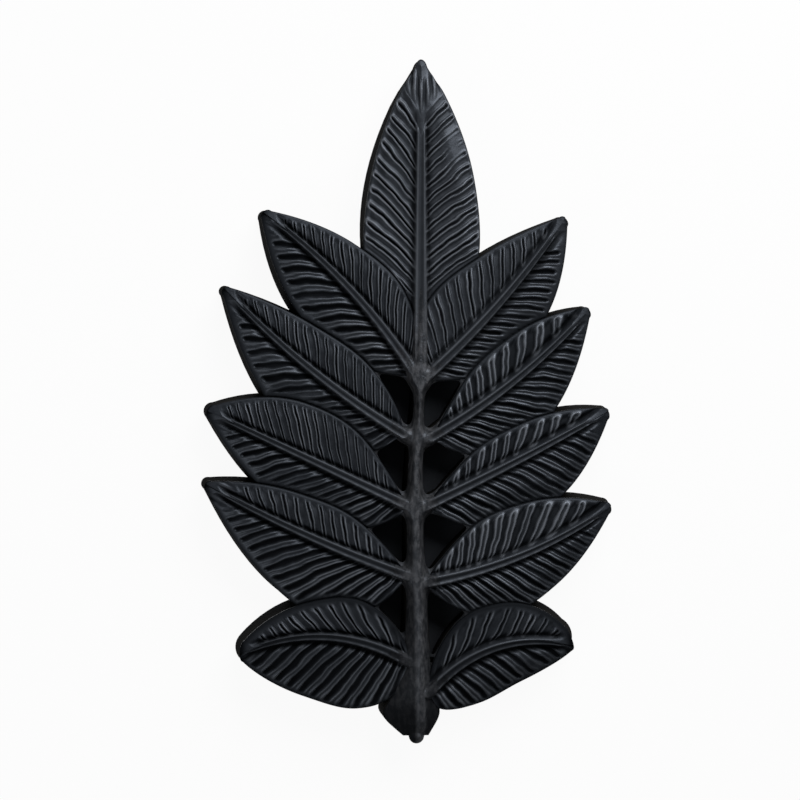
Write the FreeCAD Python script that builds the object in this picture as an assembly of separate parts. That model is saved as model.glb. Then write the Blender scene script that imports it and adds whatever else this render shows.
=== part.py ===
import FreeCAD, Part
import os
from collections import namedtuple
from FreeCAD import Placement, Rotation, Vector

# Leaf-shaped hand scoop for gathering leaves, one of a pair. It lies on its rear rim with the veined
# face up: +Z leaves the face, +Y points to the leaf's tip, and the origin is under the leaf's middle.
# A drafted leaf moulding is closed by a flat cover, and a bail handle folds into a tray behind it.

# Leaf, millimetres
LEAF_LENGTH = 400.0
LEAF_WIDTH = 242.0
FACE_HEIGHT = 24.0        # edge of the face above the rear rim
LEAN = 3.1                # how far the outer walls lean in between rim and face
CROWN = 4.0               # rise of a leaflet from its edge to its middle
CROWN_INSET = 14.0        # how far inside its edge a leaflet reaches that height
MIDRIB_RISE = 5.4         # top of a midrib above the edge of the face
MIDRIB_ROOT_HALF = 2.2
MIDRIB_TIP_HALF = 0.7
STEM_RISE = 7.0           # crest of the stem above the edge of the face
STEM_CREST_SHARE = 0.35   # width of the crest over the width of the stem
WALL = 2.2

# Rear cover
COVER_THICKNESS = 2.0
COVER_GAP = 0.4           # all round, inside the rim
COVER_SCREW_SHARE = 0.74  # how far out along each leaflet its cover screw sits
STEM_SCREW_ALONG = -0.86

# Countersunk screws, their bosses and the threaded inserts
SCREW_RADIUS = 1.5
SCREW_HEAD_RADIUS = 2.9
SCREW_HEAD_DEPTH = 1.6
SCREW_LENGTH = 12.0
SCREW_GAP = 0.1
BOSS_RADIUS = 4.4
INSERT_RADIUS = 2.6
INSERT_LENGTH = 6.0

# Handle tray
TRAY_WALL = 2.0
TRAY_GAP = 0.6            # between the tray and the leaf moulding
TRAY_DEPTH = 21.0
EAR_RADIUS = 5.2
EAR_THICKNESS = 2.5
EAR_SPACING = 30.0        # between the two ears above the tray

# Folding bail handle
ROD_RADIUS = 3.5
ROD_CORNER = 9.0          # bend radius beside the grip, on the rod's centre line
ROD_ELBOW = 7.0           # bend radius where a leg turns out into its pivot
HINGE_HEIGHT = 9.5
LEG_GAP = 1.5             # between a leg and the side of the tray
STOP_GAP = 0.3            # between a leg and the end of the tray when the handle stands out
GRIP_WIDTH = 20.0
GRIP_ROOM = 1.5           # behind the folded grip, and in front of it to the floor of the tray
GRIP_EDGE = 5.5
GRIP_END_GAP = 1.0
GRIP_SCREW_RADIUS = 1.25
GRIP_SCREW_HEAD = 2.1
GRIP_SCREW_OFFSET = 6.4
GRIP_SCREW_SPACING = 62.0
GRIP_SCREW_SUNK = 4.4     # head of a grip screw behind the split between the halves
GRIP_SCREW_HOLD = 0.55    # share of the front half that a grip screw reaches into

# Hinge brackets and what is on the pivots
PIVOT_GAP = 0.06          # running clearance on the radius
BRACKET_GAP = 0.4
BRACKET_THICKNESS = 8.0
BRACKET_HALF_LENGTH = 11.0
BRACKET_HEIGHT = 16.5
BRACKET_SCREW_OFFSET = 7.6
WASHER_THICKNESS = 0.6
WASHER_RADIUS = 6.8
CAP_THICKNESS = 2.4
CAP_RADIUS = 6.2
CAP_LIP = 0.8

# Snap clips that hold the folded legs
CLIP_SHEET = 1.2
CLIP_GAP = 0.08
CLIP_LENGTH = 12.0
CLIP_ALONG_LEG = 17.0     # from the pivots to the middle of a clip
CLIP_RIVET_RADIUS = 1.6

OVERCUT = 1.0             # how far a cutting shape runs past the face that it opens
SCREW_TIP_ROOM = 2.0      # free depth beyond a screw's tip
MIDRIB_STEPS = 4
STRAIGHT_TOLERANCE = 1e-6

HALF_LENGTH = LEAF_LENGTH / 2
HALF_WIDTH = LEAF_WIDTH / 2

# One leaflet: where its root and tip lie, as shares of half the leaf's width and length; its widths
# above and below the line between them, as shares of that line; how far each width's widest place
# shifts along it; how square its ends are; and how far its midrib bows upwards.
Leaflet = namedtuple("Leaflet", "root tip upper lower upper_skew lower_skew fullness bow")
TERMINAL = Leaflet((0.05, 0.07), (0.055, 1.018), 0.18, 0.19, 0.88, 0.93, 1.0, 0.0)
LEFT_LEAFLETS = [
    Leaflet((0.03, 0.07), (-0.73, 0.56), 0.23, 0.21, 0.86, 0.90, 1.0, 0.045),
    Leaflet((-0.03, -0.10), (-0.92, 0.34), 0.14, 0.29, 0.82, 0.68, 1.0, -0.035),
    Leaflet((0.00, -0.31), (-1.005, -0.02), 0.23, 0.25, 1.14, 0.77, 1.0, 0.0),
    Leaflet((-0.01, -0.51), (-1.013, -0.23), 0.15, 0.32, 0.99, 0.67, 1.0, -0.02),
    Leaflet((0.00, -0.76), (-0.85, -0.73), 0.35, 0.28, 0.85, 0.66, 0.75, 0.12),
]
RIGHT_LEAFLETS = [
    Leaflet((0.07, 0.06), (0.78, 0.55), 0.22, 0.26, 0.68, 0.89, 1.0, -0.03),
    Leaflet((0.10, -0.11), (0.90, 0.28), 0.15, 0.31, 1.20, 0.74, 1.0, -0.04),
    Leaflet((0.07, -0.31), (1.0, -0.02), 0.15, 0.29, 1.15, 0.88, 1.0, -0.01),
    Leaflet((0.07, -0.53), (1.013, -0.30), 0.19, 0.30, 1.05, 0.77, 1.0, -0.055),
    Leaflet((0.09, -0.85), (0.83, -0.71), 0.42, 0.16, 1.13, 0.52, 0.62, 0.14),
]
LEAFLETS = [TERMINAL] + LEFT_LEAFLETS + RIGHT_LEAFLETS
EDGE_STEPS = [0.03, 0.1, 0.25, 0.45, 0.65, 0.82, 0.96]   # where an edge's curve is set out
TIP_APEX = 0.982
ROOT_INSET = 1.2          # how an inset moves a leaflet's root and tip along its line
TIP_INSET = 1.3
LEAN_START = 0.3          # the walls stand upright near the roots and lean from here outwards
LEAN_FULL = 0.6

# The stem's centre line and half widths: along as a share of half the length, then millimetres
STEM_STATIONS = [
    (0.12, 6.0, 2.6), (0.0, 5.7, 2.8), (-0.2, 3.6, 4.4), (-0.4, 3.5, 5.0), (-0.6, 4.4, 6.2),
    (-0.75, 4.2, 8.0), (-0.86, 2.6, 13.0), (-0.91, 1.2, 16.5), (-0.95, 2.4, 11.8), (-0.975, 3.8, 7.4),
]
STEM_NUB_RADIUS = 4.6
STEM_NUB_CENTRE = 4.2
STEM_HOLLOW = slice(-5, -1)   # the stations that are wide enough for a hollow in the stem
NECK_HALF = 4.5           # the bridge from a leaflet's root to the stem
NECK_INTO_LEAF = 12.0
NECK_INTO_STEM = 10.0

# The room for the tray, between the openings beside the stem and the notches between leaflets
POCKET_TOP = 0.07
BAY_NOTCH_ALONG = 0.437
BAY_NOTCH_ACROSS = 0.60
BAY_TOP_INSET = 1.9       # how far a notch's inner corner reaches in, for each millimetre of wall
BAY_SIDE_INSET = 1.5
CORE_LEFT = -0.21         # the part of the cover behind the openings beside the stem
CORE_RIGHT = 0.31
CORE_BOTTOM = -0.82
CORE_TOP = 0.10


def ramp(share):
    """Grow smoothly from 0 at LEAN_START to 1 at LEAN_FULL."""
    x = min(max((share - LEAN_START) / (LEAN_FULL - LEAN_START), 0.0), 1.0)
    return x * x * (3 - 2 * x)


def leaf_point(place, z=0.0):
    return Vector(place[0] * HALF_WIDTH, place[1] * HALF_LENGTH, z)


def leaflet_axes(leaflet):
    """Root, line from root to tip, its unit vector and the unit vector towards the upper edge."""
    root = leaf_point(leaflet.root)
    line = leaf_point(leaflet.tip) - root
    along = Vector(line)
    along.normalize()
    across = Vector(-along.y, along.x, 0)
    if leaflet.tip[0] > leaflet.root[0] or leaflet is TERMINAL:
        return root, line.Length, along, across
    return root, line.Length, along, across * -1


def leaflet_wire(leaflet, z, lean=0.0, inset=0.0):
    """Closed outline of a leaflet at height z, leant in near its tip and inset all round."""
    root, length, along, across = leaflet_axes(leaflet)
    start = root + along * (ROOT_INSET * inset)
    run = length - ROOT_INSET * inset - TIP_INSET * (inset + lean)

    def edge(width, skew, side):
        points = []
        for share in EDGE_STEPS:
            s = share ** skew
            reach = (width * length - inset - lean * ramp(share)) * (4 * s * (1 - s)) ** leaflet.fullness
            point = start + along * (share * run) + across * (side * reach)
            points.append(Vector(point.x, point.y, z))
        return points

    upper = edge(leaflet.upper, leaflet.upper_skew, 1)
    lower = edge(leaflet.lower, leaflet.lower_skew, -1)
    apex = start + along * (TIP_APEX * run)
    apex.z = z
    upper_curve = Part.BSplineCurve()
    upper_curve.interpolate(upper)
    lower_curve = Part.BSplineCurve()
    lower_curve.interpolate(lower[::-1])
    tip = Part.Arc(upper[-1], apex, lower[-1]).toShape()
    root_edge = Part.makeLine(lower[0], upper[0])
    return Part.Wire([upper_curve.toShape(), tip, lower_curve.toShape(), root_edge])


def stem_wire(z, grow=0.0, share=1.0, stations=slice(None)):
    """Closed outline of the stem at height z: its half widths times share, then grown."""
    left = []
    right = []
    for along, centre, half in STEM_STATIONS[stations]:
        y = along * HALF_LENGTH
        left.append(Vector(centre - half * share - grow, y, z))
        right.append(Vector(centre + half * share + grow, y, z))
    left_curve = Part.BSplineCurve()
    left_curve.interpolate(left)
    right_curve = Part.BSplineCurve()
    right_curve.interpolate(right[::-1])
    foot = Part.makeLine(left[-1], right[-1])
    head = Part.makeLine(right[0], left[0])
    return Part.Wire([left_curve.toShape(), foot, right_curve.toShape(), head])


def box(x0, x1, y0, y1, z0, z1):
    return Part.makeBox(x1 - x0, y1 - y0, z1 - z0, Vector(x0, y0, z0))


def post(x, y, z0, z1, radius):
    return Part.makeCylinder(radius, z1 - z0, Vector(x, y, z0))


def across_post(x0, x1, y, z, radius):
    return Part.makeCylinder(radius, x1 - x0, Vector(x0, y, z), Vector(1, 0, 0))


def fuse(shapes):
    return shapes[0].multiFuse(shapes[1:])


def one_solid(shape):
    """The piece that a chain of cuts leaves, without the seams between its faces."""
    solids = shape.removeSplitter().Solids
    return max(solids, key=lambda solid: solid.Volume)


def prism(wire, height):
    return Part.Face(wire).extrude(Vector(0, 0, height))


# Places that several pieces share
TRAY_BOTTOM = POCKET_TOP * HALF_LENGTH + WALL + TRAY_GAP
TRAY_TOP = BAY_NOTCH_ALONG * HALF_LENGTH - BAY_TOP_INSET * (WALL + LEAN) - TRAY_GAP
TRAY_HALF = BAY_NOTCH_ACROSS * HALF_WIDTH - BAY_SIDE_INSET * (WALL + LEAN) - TRAY_GAP
TRAY_INNER_HALF = TRAY_HALF - TRAY_WALL
HINGE_Y = TRAY_BOTTOM + TRAY_WALL + STOP_GAP + ROD_RADIUS
LEG_X = TRAY_INNER_HALF - LEG_GAP - ROD_RADIUS
GRIP_Y = TRAY_TOP - TRAY_WALL - GRIP_END_GAP - GRIP_WIDTH / 2
GRIP_HALF_LENGTH = LEG_X - ROD_CORNER - GRIP_END_GAP
GRIP_THICKNESS = TRAY_DEPTH - TRAY_WALL - 2 * GRIP_ROOM
GRIP_SCREW_TIP = HINGE_HEIGHT + GRIP_SCREW_HOLD * (GRIP_ROOM + GRIP_THICKNESS - HINGE_HEIGHT)
BRACKET_INNER = TRAY_HALF + BRACKET_GAP
BRACKET_OUTER = BRACKET_INNER + BRACKET_THICKNESS
WASHER_INNER = BRACKET_OUTER + PIVOT_GAP
CAP_INNER = WASHER_INNER + WASHER_THICKNESS + PIVOT_GAP
PIVOT_END = CAP_INNER + CAP_THICKNESS - CAP_LIP
CLIP_Y = HINGE_Y + CLIP_ALONG_LEG
STEM_X = TERMINAL.root[0] * HALF_WIDTH
CEILING = FACE_HEIGHT - WALL
EAR_TOP = COVER_THICKNESS + EAR_THICKNESS
SIDE_EAR_Y = HINGE_Y + BRACKET_HALF_LENGTH + EAR_RADIUS + TRAY_GAP


def ear_places():
    """Screw positions of the tray's four ears."""
    side = TRAY_HALF + EAR_RADIUS
    top = TRAY_TOP + EAR_RADIUS
    return [(-side, SIDE_EAR_Y), (side, SIDE_EAR_Y),
            (STEM_X - EAR_SPACING / 2, top), (STEM_X + EAR_SPACING / 2, top)]


def cover_screw_places():
    """One screw in each leaflet and one at the stem."""
    places = []
    for leaflet in LEAFLETS:
        root, length, along, _ = leaflet_axes(leaflet)
        point = root + along * (COVER_SCREW_SHARE * length)
        places.append((point.x, point.y))
    places.append((STEM_X / 2, STEM_SCREW_ALONG * HALF_LENGTH))
    return places


def bracket_screw_places():
    middle = (BRACKET_INNER + BRACKET_OUTER) / 2
    return [(x, HINGE_Y + dy) for x in (-middle, middle)
            for dy in (-BRACKET_SCREW_OFFSET, BRACKET_SCREW_OFFSET)]


def leaflet_solid(leaflet):
    """Drafted wall, then the roof that rises to the leaflet's middle."""
    sections = [leaflet_wire(leaflet, 0), leaflet_wire(leaflet, FACE_HEIGHT, LEAN),
                leaflet_wire(leaflet, FACE_HEIGHT + CROWN, LEAN, CROWN_INSET)]
    return Part.makeLoft(sections, True, True)


def midrib_solid(leaflet):
    """Tapered ridge along a leaflet's bowed middle line."""
    root, length, along, across = leaflet_axes(leaflet)
    run = length * TIP_APEX - CROWN_INSET
    sides = {1: [], -1: []}
    for step in range(MIDRIB_STEPS + 1):
        share = step / MIDRIB_STEPS
        middle = root + along * (share * run) + across * (4 * leaflet.bow * length * share * (1 - share))
        half = MIDRIB_ROOT_HALF + (MIDRIB_TIP_HALF - MIDRIB_ROOT_HALF) * share
        for side in sides:
            point = middle + across * (side * half)
            sides[side].append(Vector(point.x, point.y, CEILING))
    upper = Part.BSplineCurve()
    upper.interpolate(sides[1])
    lower = Part.BSplineCurve()
    lower.interpolate(sides[-1][::-1])
    tip = Part.makeLine(sides[1][-1], sides[-1][-1])
    foot = Part.makeLine(sides[-1][0], sides[1][0])
    outline = Part.Wire([upper.toShape(), tip, lower.toShape(), foot])
    return prism(outline, FACE_HEIGHT + MIDRIB_RISE - CEILING)


def neck_solid(leaflet):
    """Bridge that carries a leaflet from the stem."""
    root, _, along, across = leaflet_axes(leaflet)
    corners = [root + along * NECK_INTO_LEAF + across * NECK_HALF,
               root - along * NECK_INTO_STEM + across * NECK_HALF,
               root - along * NECK_INTO_STEM - across * NECK_HALF,
               root + along * NECK_INTO_LEAF - across * NECK_HALF]
    return prism(Part.makePolygon(corners + corners[:1]), FACE_HEIGHT)


def stem_solid():
    """The stem with its raised crest, and the rounded nub at its end."""
    sections = [stem_wire(0, LEAN / 2), stem_wire(FACE_HEIGHT),
                stem_wire(FACE_HEIGHT + STEM_RISE, 0, STEM_CREST_SHARE)]
    body = Part.makeLoft(sections, True, True)
    nub = Part.makeCone(STEM_NUB_RADIUS, STEM_NUB_RADIUS - LEAN / 2, FACE_HEIGHT,
                        Vector(STEM_NUB_CENTRE, STEM_NUB_RADIUS - HALF_LENGTH, 0))
    return [body, nub]


def leaf_cavity():
    """The hollow behind the face: every leaflet and the stem, a wall smaller, open at the rear."""
    hollows = []
    for leaflet in LEAFLETS:
        sections = [leaflet_wire(leaflet, -OVERCUT, 0, WALL), leaflet_wire(leaflet, CEILING, LEAN, WALL),
                    leaflet_wire(leaflet, CEILING + CROWN, LEAN, WALL + CROWN_INSET)]
        hollows.append(Part.makeLoft(sections, True, True))
    stem_low = stem_wire(-OVERCUT, LEAN / 2 - WALL, 1, STEM_HOLLOW)
    stem_high = stem_wire(CEILING, -WALL, 1, STEM_HOLLOW)
    hollows.append(Part.makeLoft([stem_low, stem_high], True, True))
    return fuse(hollows)


def cover_outline_solid(inset, z, height):
    """A plate across the inside of the rim, solid behind the openings beside the stem."""
    plates = [prism(leaflet_wire(leaflet, z, 0, inset), height) for leaflet in LEAFLETS]
    plates.append(prism(stem_wire(z, LEAN / 2 - inset, 1, STEM_HOLLOW), height))
    plates.append(box(CORE_LEFT * HALF_WIDTH, CORE_RIGHT * HALF_WIDTH, CORE_BOTTOM * HALF_LENGTH,
                      CORE_TOP * HALF_LENGTH, z, z + height))
    return fuse(plates)


def make_leaf_shell():
    """Front moulding: leaflets, midribs and stem, with bosses for the cover and the tray."""
    necks = [neck_solid(item) for item in LEFT_LEAFLETS[1:4] + RIGHT_LEAFLETS[1:4]]
    outside = fuse([leaflet_solid(item) for item in LEAFLETS] + necks + stem_solid())
    shell = outside.cut(leaf_cavity())
    shell = shell.cut(cover_outline_solid(WALL, -OVERCUT, COVER_THICKNESS + OVERCUT))
    bay = box(-TRAY_HALF - TRAY_GAP, TRAY_HALF + TRAY_GAP, TRAY_BOTTOM - TRAY_GAP, TRAY_TOP + TRAY_GAP,
              -OVERCUT, CEILING)
    hinge_bays = box(-PIVOT_END - TRAY_GAP - CAP_LIP, PIVOT_END + TRAY_GAP + CAP_LIP,
                     HINGE_Y - BRACKET_HALF_LENGTH - TRAY_GAP, HINGE_Y + BRACKET_HALF_LENGTH + TRAY_GAP,
                     -OVERCUT, BRACKET_HEIGHT + TRAY_GAP)
    keep = box(CORE_LEFT * HALF_WIDTH, CORE_RIGHT * HALF_WIDTH, -HALF_LENGTH, TRAY_BOTTOM - TRAY_GAP,
               -OVERCUT, FACE_HEIGHT)
    shell = shell.cut(fuse([bay, hinge_bays.cut(keep)]))
    ribs = [midrib_solid(item) for item in LEAFLETS]
    roof = FACE_HEIGHT + CROWN
    posts = [post(x, y, COVER_THICKNESS, roof, BOSS_RADIUS) for x, y in cover_screw_places()]
    posts += [post(x, y, EAR_TOP, roof, BOSS_RADIUS) for x, y in ear_places()]
    ear_room = [post(x, y, -OVERCUT, EAR_TOP, EAR_RADIUS + COVER_GAP) for x, y in ear_places()]
    shell = fuse([shell.cut(fuse(ear_room))] + ribs + [item.common(outside) for item in posts])
    places = cover_screw_places() + ear_places()
    depth = SCREW_LENGTH + SCREW_TIP_ROOM
    holes = [post(x, y, 0, depth, SCREW_RADIUS + SCREW_GAP) for x, y in places]
    holes += [post(x, y, EAR_TOP, EAR_TOP + INSERT_LENGTH, INSERT_RADIUS) for x, y in ear_places()]
    return one_solid(shell.cut(fuse(holes)))


def countersink(x, y, gap):
    """Screw hole through the cover with a seat for the head."""
    seat = Part.makeCone(SCREW_HEAD_RADIUS + gap, SCREW_RADIUS + gap, SCREW_HEAD_DEPTH, Vector(x, y, 0))
    return fuse([seat, post(x, y, -OVERCUT, COVER_THICKNESS + OVERCUT, SCREW_RADIUS + gap)])


def make_rear_cover():
    """Flat plate inside the rim, cut out for the tray."""
    plate = cover_outline_solid(WALL + COVER_GAP, 0, COVER_THICKNESS)
    mouth = box(-TRAY_HALF - COVER_GAP, TRAY_HALF + COVER_GAP, TRAY_BOTTOM - COVER_GAP,
                TRAY_TOP + COVER_GAP, -OVERCUT, COVER_THICKNESS + OVERCUT)
    places = cover_screw_places() + ear_places() + bracket_screw_places()
    holes = [countersink(x, y, SCREW_GAP) for x, y in places]
    return one_solid(plate.cut(fuse([mouth] + holes)))


def make_screws(places):
    """Countersunk screws, heads flush with the outside of the cover."""
    screws = []
    for x, y in places:
        head = Part.makeCone(SCREW_HEAD_RADIUS, SCREW_RADIUS, SCREW_HEAD_DEPTH, Vector(x, y, 0))
        screws.append(one_solid(head.fuse(post(x, y, 0, SCREW_LENGTH, SCREW_RADIUS))))
    return Part.makeCompound(screws)


def make_inserts():
    """Threaded brass inserts in the bosses under the tray's ears."""
    inserts = []
    for x, y in ear_places():
        body = post(x, y, EAR_TOP, EAR_TOP + INSERT_LENGTH, INSERT_RADIUS)
        inserts.append(body.cut(post(x, y, 0, FACE_HEIGHT, SCREW_RADIUS + SCREW_GAP)))
    return Part.makeCompound(inserts)


def make_handle_tray():
    """Tub that the folded handle lies in, with slots for the pivots and four screw ears."""
    outer = box(-TRAY_HALF, TRAY_HALF, TRAY_BOTTOM, TRAY_TOP, 0, TRAY_DEPTH)
    inner = box(-TRAY_INNER_HALF, TRAY_INNER_HALF, TRAY_BOTTOM + TRAY_WALL, TRAY_TOP - TRAY_WALL,
                -OVERCUT, TRAY_DEPTH - TRAY_WALL)
    ears = []
    for x, y in ear_places():
        ears.append(post(x, y, COVER_THICKNESS, EAR_TOP, EAR_RADIUS))
        if y > TRAY_TOP:
            ears.append(box(x - EAR_RADIUS, x + EAR_RADIUS, TRAY_TOP - TRAY_WALL, y,
                            COVER_THICKNESS, EAR_TOP))
        else:
            near, far = sorted([x, (TRAY_HALF - TRAY_WALL) * (1 if x > 0 else -1)])
            ears.append(box(near, far, y - EAR_RADIUS, y + EAR_RADIUS, COVER_THICKNESS, EAR_TOP))
    slot = box(-TRAY_HALF - OVERCUT, TRAY_HALF + OVERCUT, HINGE_Y - ROD_RADIUS - STOP_GAP,
               HINGE_Y + ROD_RADIUS + LEG_GAP / 2, -OVERCUT, HINGE_HEIGHT + ROD_RADIUS + STOP_GAP)
    holes = [post(x, y, 0, TRAY_DEPTH, SCREW_RADIUS + SCREW_GAP) for x, y in ear_places()]
    rivets = [post(x, CLIP_Y, 0, TRAY_DEPTH + OVERCUT, CLIP_RIVET_RADIUS) for x in (-LEG_X, LEG_X)]
    return one_solid(fuse([outer.cut(inner)] + ears).cut(fuse([slot] + holes + rivets)))


def make_bail_rod():
    """Round bar bent into a U, with its ends turned out into the pivots."""
    z = HINGE_HEIGHT
    quarter = 1 - 2 ** -0.5
    elbow = ROD_ELBOW * quarter
    corner = ROD_CORNER * quarter
    path = []
    ends = {}
    for side in (-1, 1):
        pivot = Vector(side * PIVOT_END, HINGE_Y, z)
        elbow_in = Vector(side * (LEG_X + ROD_ELBOW), HINGE_Y, z)
        elbow_mid = Vector(side * (LEG_X + elbow), HINGE_Y + elbow, z)
        elbow_out = Vector(side * LEG_X, HINGE_Y + ROD_ELBOW, z)
        corner_in = Vector(side * LEG_X, GRIP_Y - ROD_CORNER, z)
        corner_mid = Vector(side * (LEG_X - corner), GRIP_Y - corner, z)
        corner_out = Vector(side * (LEG_X - ROD_CORNER), GRIP_Y, z)
        half = [Part.makeLine(pivot, elbow_in), Part.Arc(elbow_in, elbow_mid, elbow_out).toShape(),
                Part.makeLine(elbow_out, corner_in), Part.Arc(corner_in, corner_mid, corner_out).toShape()]
        ends[side] = corner_out
        path.append(half)
    edges = path[0] + [Part.makeLine(ends[-1], ends[1])] + path[1][::-1]
    start = Vector(-PIVOT_END, HINGE_Y, z)
    section = Part.Wire([Part.makeCircle(ROD_RADIUS, start, Vector(1, 0, 0))])
    return Part.Wire(edges).makePipeShell([section], True, False).Solids[0]


def grip_body():
    """Rounded bar along the handle's crossbar."""
    body = box(-GRIP_HALF_LENGTH, GRIP_HALF_LENGTH, GRIP_Y - GRIP_WIDTH / 2, GRIP_Y + GRIP_WIDTH / 2,
               GRIP_ROOM, GRIP_ROOM + GRIP_THICKNESS)
    long_edges = [edge for edge in body.Edges
                  if abs(edge.BoundBox.XLength - 2 * GRIP_HALF_LENGTH) < STRAIGHT_TOLERANCE]
    return body.makeFillet(GRIP_EDGE, long_edges)


def grip_screw_places():
    return [(x, GRIP_Y + dy) for x in (-GRIP_SCREW_SPACING / 2, GRIP_SCREW_SPACING / 2)
            for dy in (-GRIP_SCREW_OFFSET, GRIP_SCREW_OFFSET)]


def make_grip_half(front):
    """Half of the grip, split through the rod. Screws pass the rear half and bite in the front."""
    top = HINGE_HEIGHT + GRIP_THICKNESS
    low = HINGE_HEIGHT - GRIP_THICKNESS
    z0, z1 = (HINGE_HEIGHT, top) if front else (low, HINGE_HEIGHT)
    room = box(-LEG_X, LEG_X, GRIP_Y - GRIP_WIDTH, GRIP_Y + GRIP_WIDTH, z0, z1)
    cuts = [across_post(-LEG_X, LEG_X, GRIP_Y, HINGE_HEIGHT, ROD_RADIUS)]
    for x, y in grip_screw_places():
        cuts.append(post(x, y, low, GRIP_SCREW_TIP, GRIP_SCREW_RADIUS))
        cuts.append(post(x, y, low, HINGE_HEIGHT - GRIP_SCREW_SUNK, GRIP_SCREW_HEAD))
    return one_solid(grip_body().common(room).cut(fuse(cuts)))


def make_grip_screws():
    screws = []
    for x, y in grip_screw_places():
        head = post(x, y, HINGE_HEIGHT - GRIP_SCREW_SUNK - GRIP_SCREW_RADIUS, HINGE_HEIGHT - GRIP_SCREW_SUNK,
                    GRIP_SCREW_HEAD)
        shank = post(x, y, HINGE_HEIGHT - GRIP_SCREW_SUNK, GRIP_SCREW_TIP, GRIP_SCREW_RADIUS)
        screws.append(one_solid(head.fuse(shank)))
    return Part.makeCompound(screws)


def side_range(side, near, far):
    """X range between two distances from the middle, on the given side."""
    return (near, far) if side > 0 else (-far, -near)


def make_hinge_bracket(side):
    """Block under the cover that carries a pivot in a running bore."""
    x0, x1 = side_range(side, BRACKET_INNER, BRACKET_OUTER)
    block = box(x0, x1, HINGE_Y - BRACKET_HALF_LENGTH, HINGE_Y + BRACKET_HALF_LENGTH,
                COVER_THICKNESS, BRACKET_HEIGHT)
    cuts = [across_post(x0 - OVERCUT, x1 + OVERCUT, HINGE_Y, HINGE_HEIGHT, ROD_RADIUS + PIVOT_GAP)]
    for x, y in bracket_screw_places():
        cuts.append(post(x, y, 0, SCREW_LENGTH + OVERCUT, SCREW_RADIUS + SCREW_GAP))
    return one_solid(block.cut(fuse(cuts)))


def make_washer(side):
    """Friction washer between a bracket and the cap on its pivot."""
    x0, x1 = side_range(side, WASHER_INNER, WASHER_INNER + WASHER_THICKNESS)
    disc = across_post(x0, x1, HINGE_Y, HINGE_HEIGHT, WASHER_RADIUS)
    return disc.cut(across_post(x0, x1, HINGE_Y, HINGE_HEIGHT, ROD_RADIUS + PIVOT_GAP))


def make_pivot_cap(side):
    """Push-on cap that closes the end of a pivot."""
    x0, x1 = side_range(side, CAP_INNER, CAP_INNER + CAP_THICKNESS)
    disc = across_post(x0, x1, HINGE_Y, HINGE_HEIGHT, CAP_RADIUS)
    b0, b1 = side_range(side, CAP_INNER, PIVOT_END)
    return disc.cut(across_post(b0, b1, HINGE_Y, HINGE_HEIGHT, ROD_RADIUS))


def make_snap_clip(side):
    """Sheet channel on the floor of the tray that grips a folded leg, with its rivet."""
    half = ROD_RADIUS + CLIP_GAP
    floor = TRAY_DEPTH - TRAY_WALL
    y0 = CLIP_Y - CLIP_LENGTH / 2
    y1 = CLIP_Y + CLIP_LENGTH / 2
    x = side * LEG_X
    outer = box(x - half - CLIP_SHEET, x + half + CLIP_SHEET, y0, y1, HINGE_HEIGHT - CLIP_SHEET, floor)
    inner = box(x - half, x + half, y0, y1, -OVERCUT, floor - CLIP_SHEET)
    rivet = post(x, CLIP_Y, floor - CLIP_SHEET, TRAY_DEPTH, CLIP_RIVET_RADIUS)
    return one_solid(outer.cut(inner).fuse(rivet))


def centred(parts):
    """Move every piece sideways so that the origin is under the middle of the leaf."""
    bounds = parts["leaf_shell"].optimalBoundingBox(False, False)
    move = Vector(-(bounds.XMin + bounds.XMax) / 2, -(bounds.YMin + bounds.YMax) / 2, 0)
    placed = {}
    for name, shape in parts.items():
        placed[name] = shape.transformed(Placement(move, Rotation()).toMatrix(), True)
    return placed, move


def build_parts():
    return {
        "leaf_shell": make_leaf_shell(),
        "rear_cover": make_rear_cover(),
        "cover_screws": make_screws(cover_screw_places()),
        "handle_tray": make_handle_tray(),
        "tray_screws": make_screws(ear_places()),
        "tray_inserts": make_inserts(),
        "bail_rod": make_bail_rod(),
        "grip_half_front": make_grip_half(True),
        "grip_half_back": make_grip_half(False),
        "grip_screws": make_grip_screws(),
        "hinge_bracket_left": make_hinge_bracket(-1),
        "hinge_bracket_right": make_hinge_bracket(1),
        "bracket_screws": make_screws(bracket_screw_places()),
        "pivot_washer_left": make_washer(-1),
        "pivot_washer_right": make_washer(1),
        "pivot_cap_left": make_pivot_cap(-1),
        "pivot_cap_right": make_pivot_cap(1),
        "snap_clip_left": make_snap_clip(-1),
        "snap_clip_right": make_snap_clip(1),
    }


pieces, shift = centred(build_parts())
os.makedirs("parts", exist_ok=True)
for node, shape in pieces.items():
    shape.exportStep("parts/" + node + ".step")
    size = shape.optimalBoundingBox(False, False)
    print("%-22s %2d solids %9.0f mm3  x %.1f..%.1f  y %.1f..%.1f  z %.1f..%.1f" % (
        node, len(shape.Solids), shape.Volume, size.XMin, size.XMax, size.YMin, size.YMax,
        size.ZMin, size.ZMax))
print("pivot line at y %.3f z %.3f" % (HINGE_Y + shift.y, HINGE_HEIGHT))
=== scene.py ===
import logging
import math
from dataclasses import dataclass, field
from enum import Enum
from typing import Any, Callable, Iterable, Optional, Union

import bmesh
import bpy
import numpy as np
from mathutils import Matrix, Vector


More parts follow.
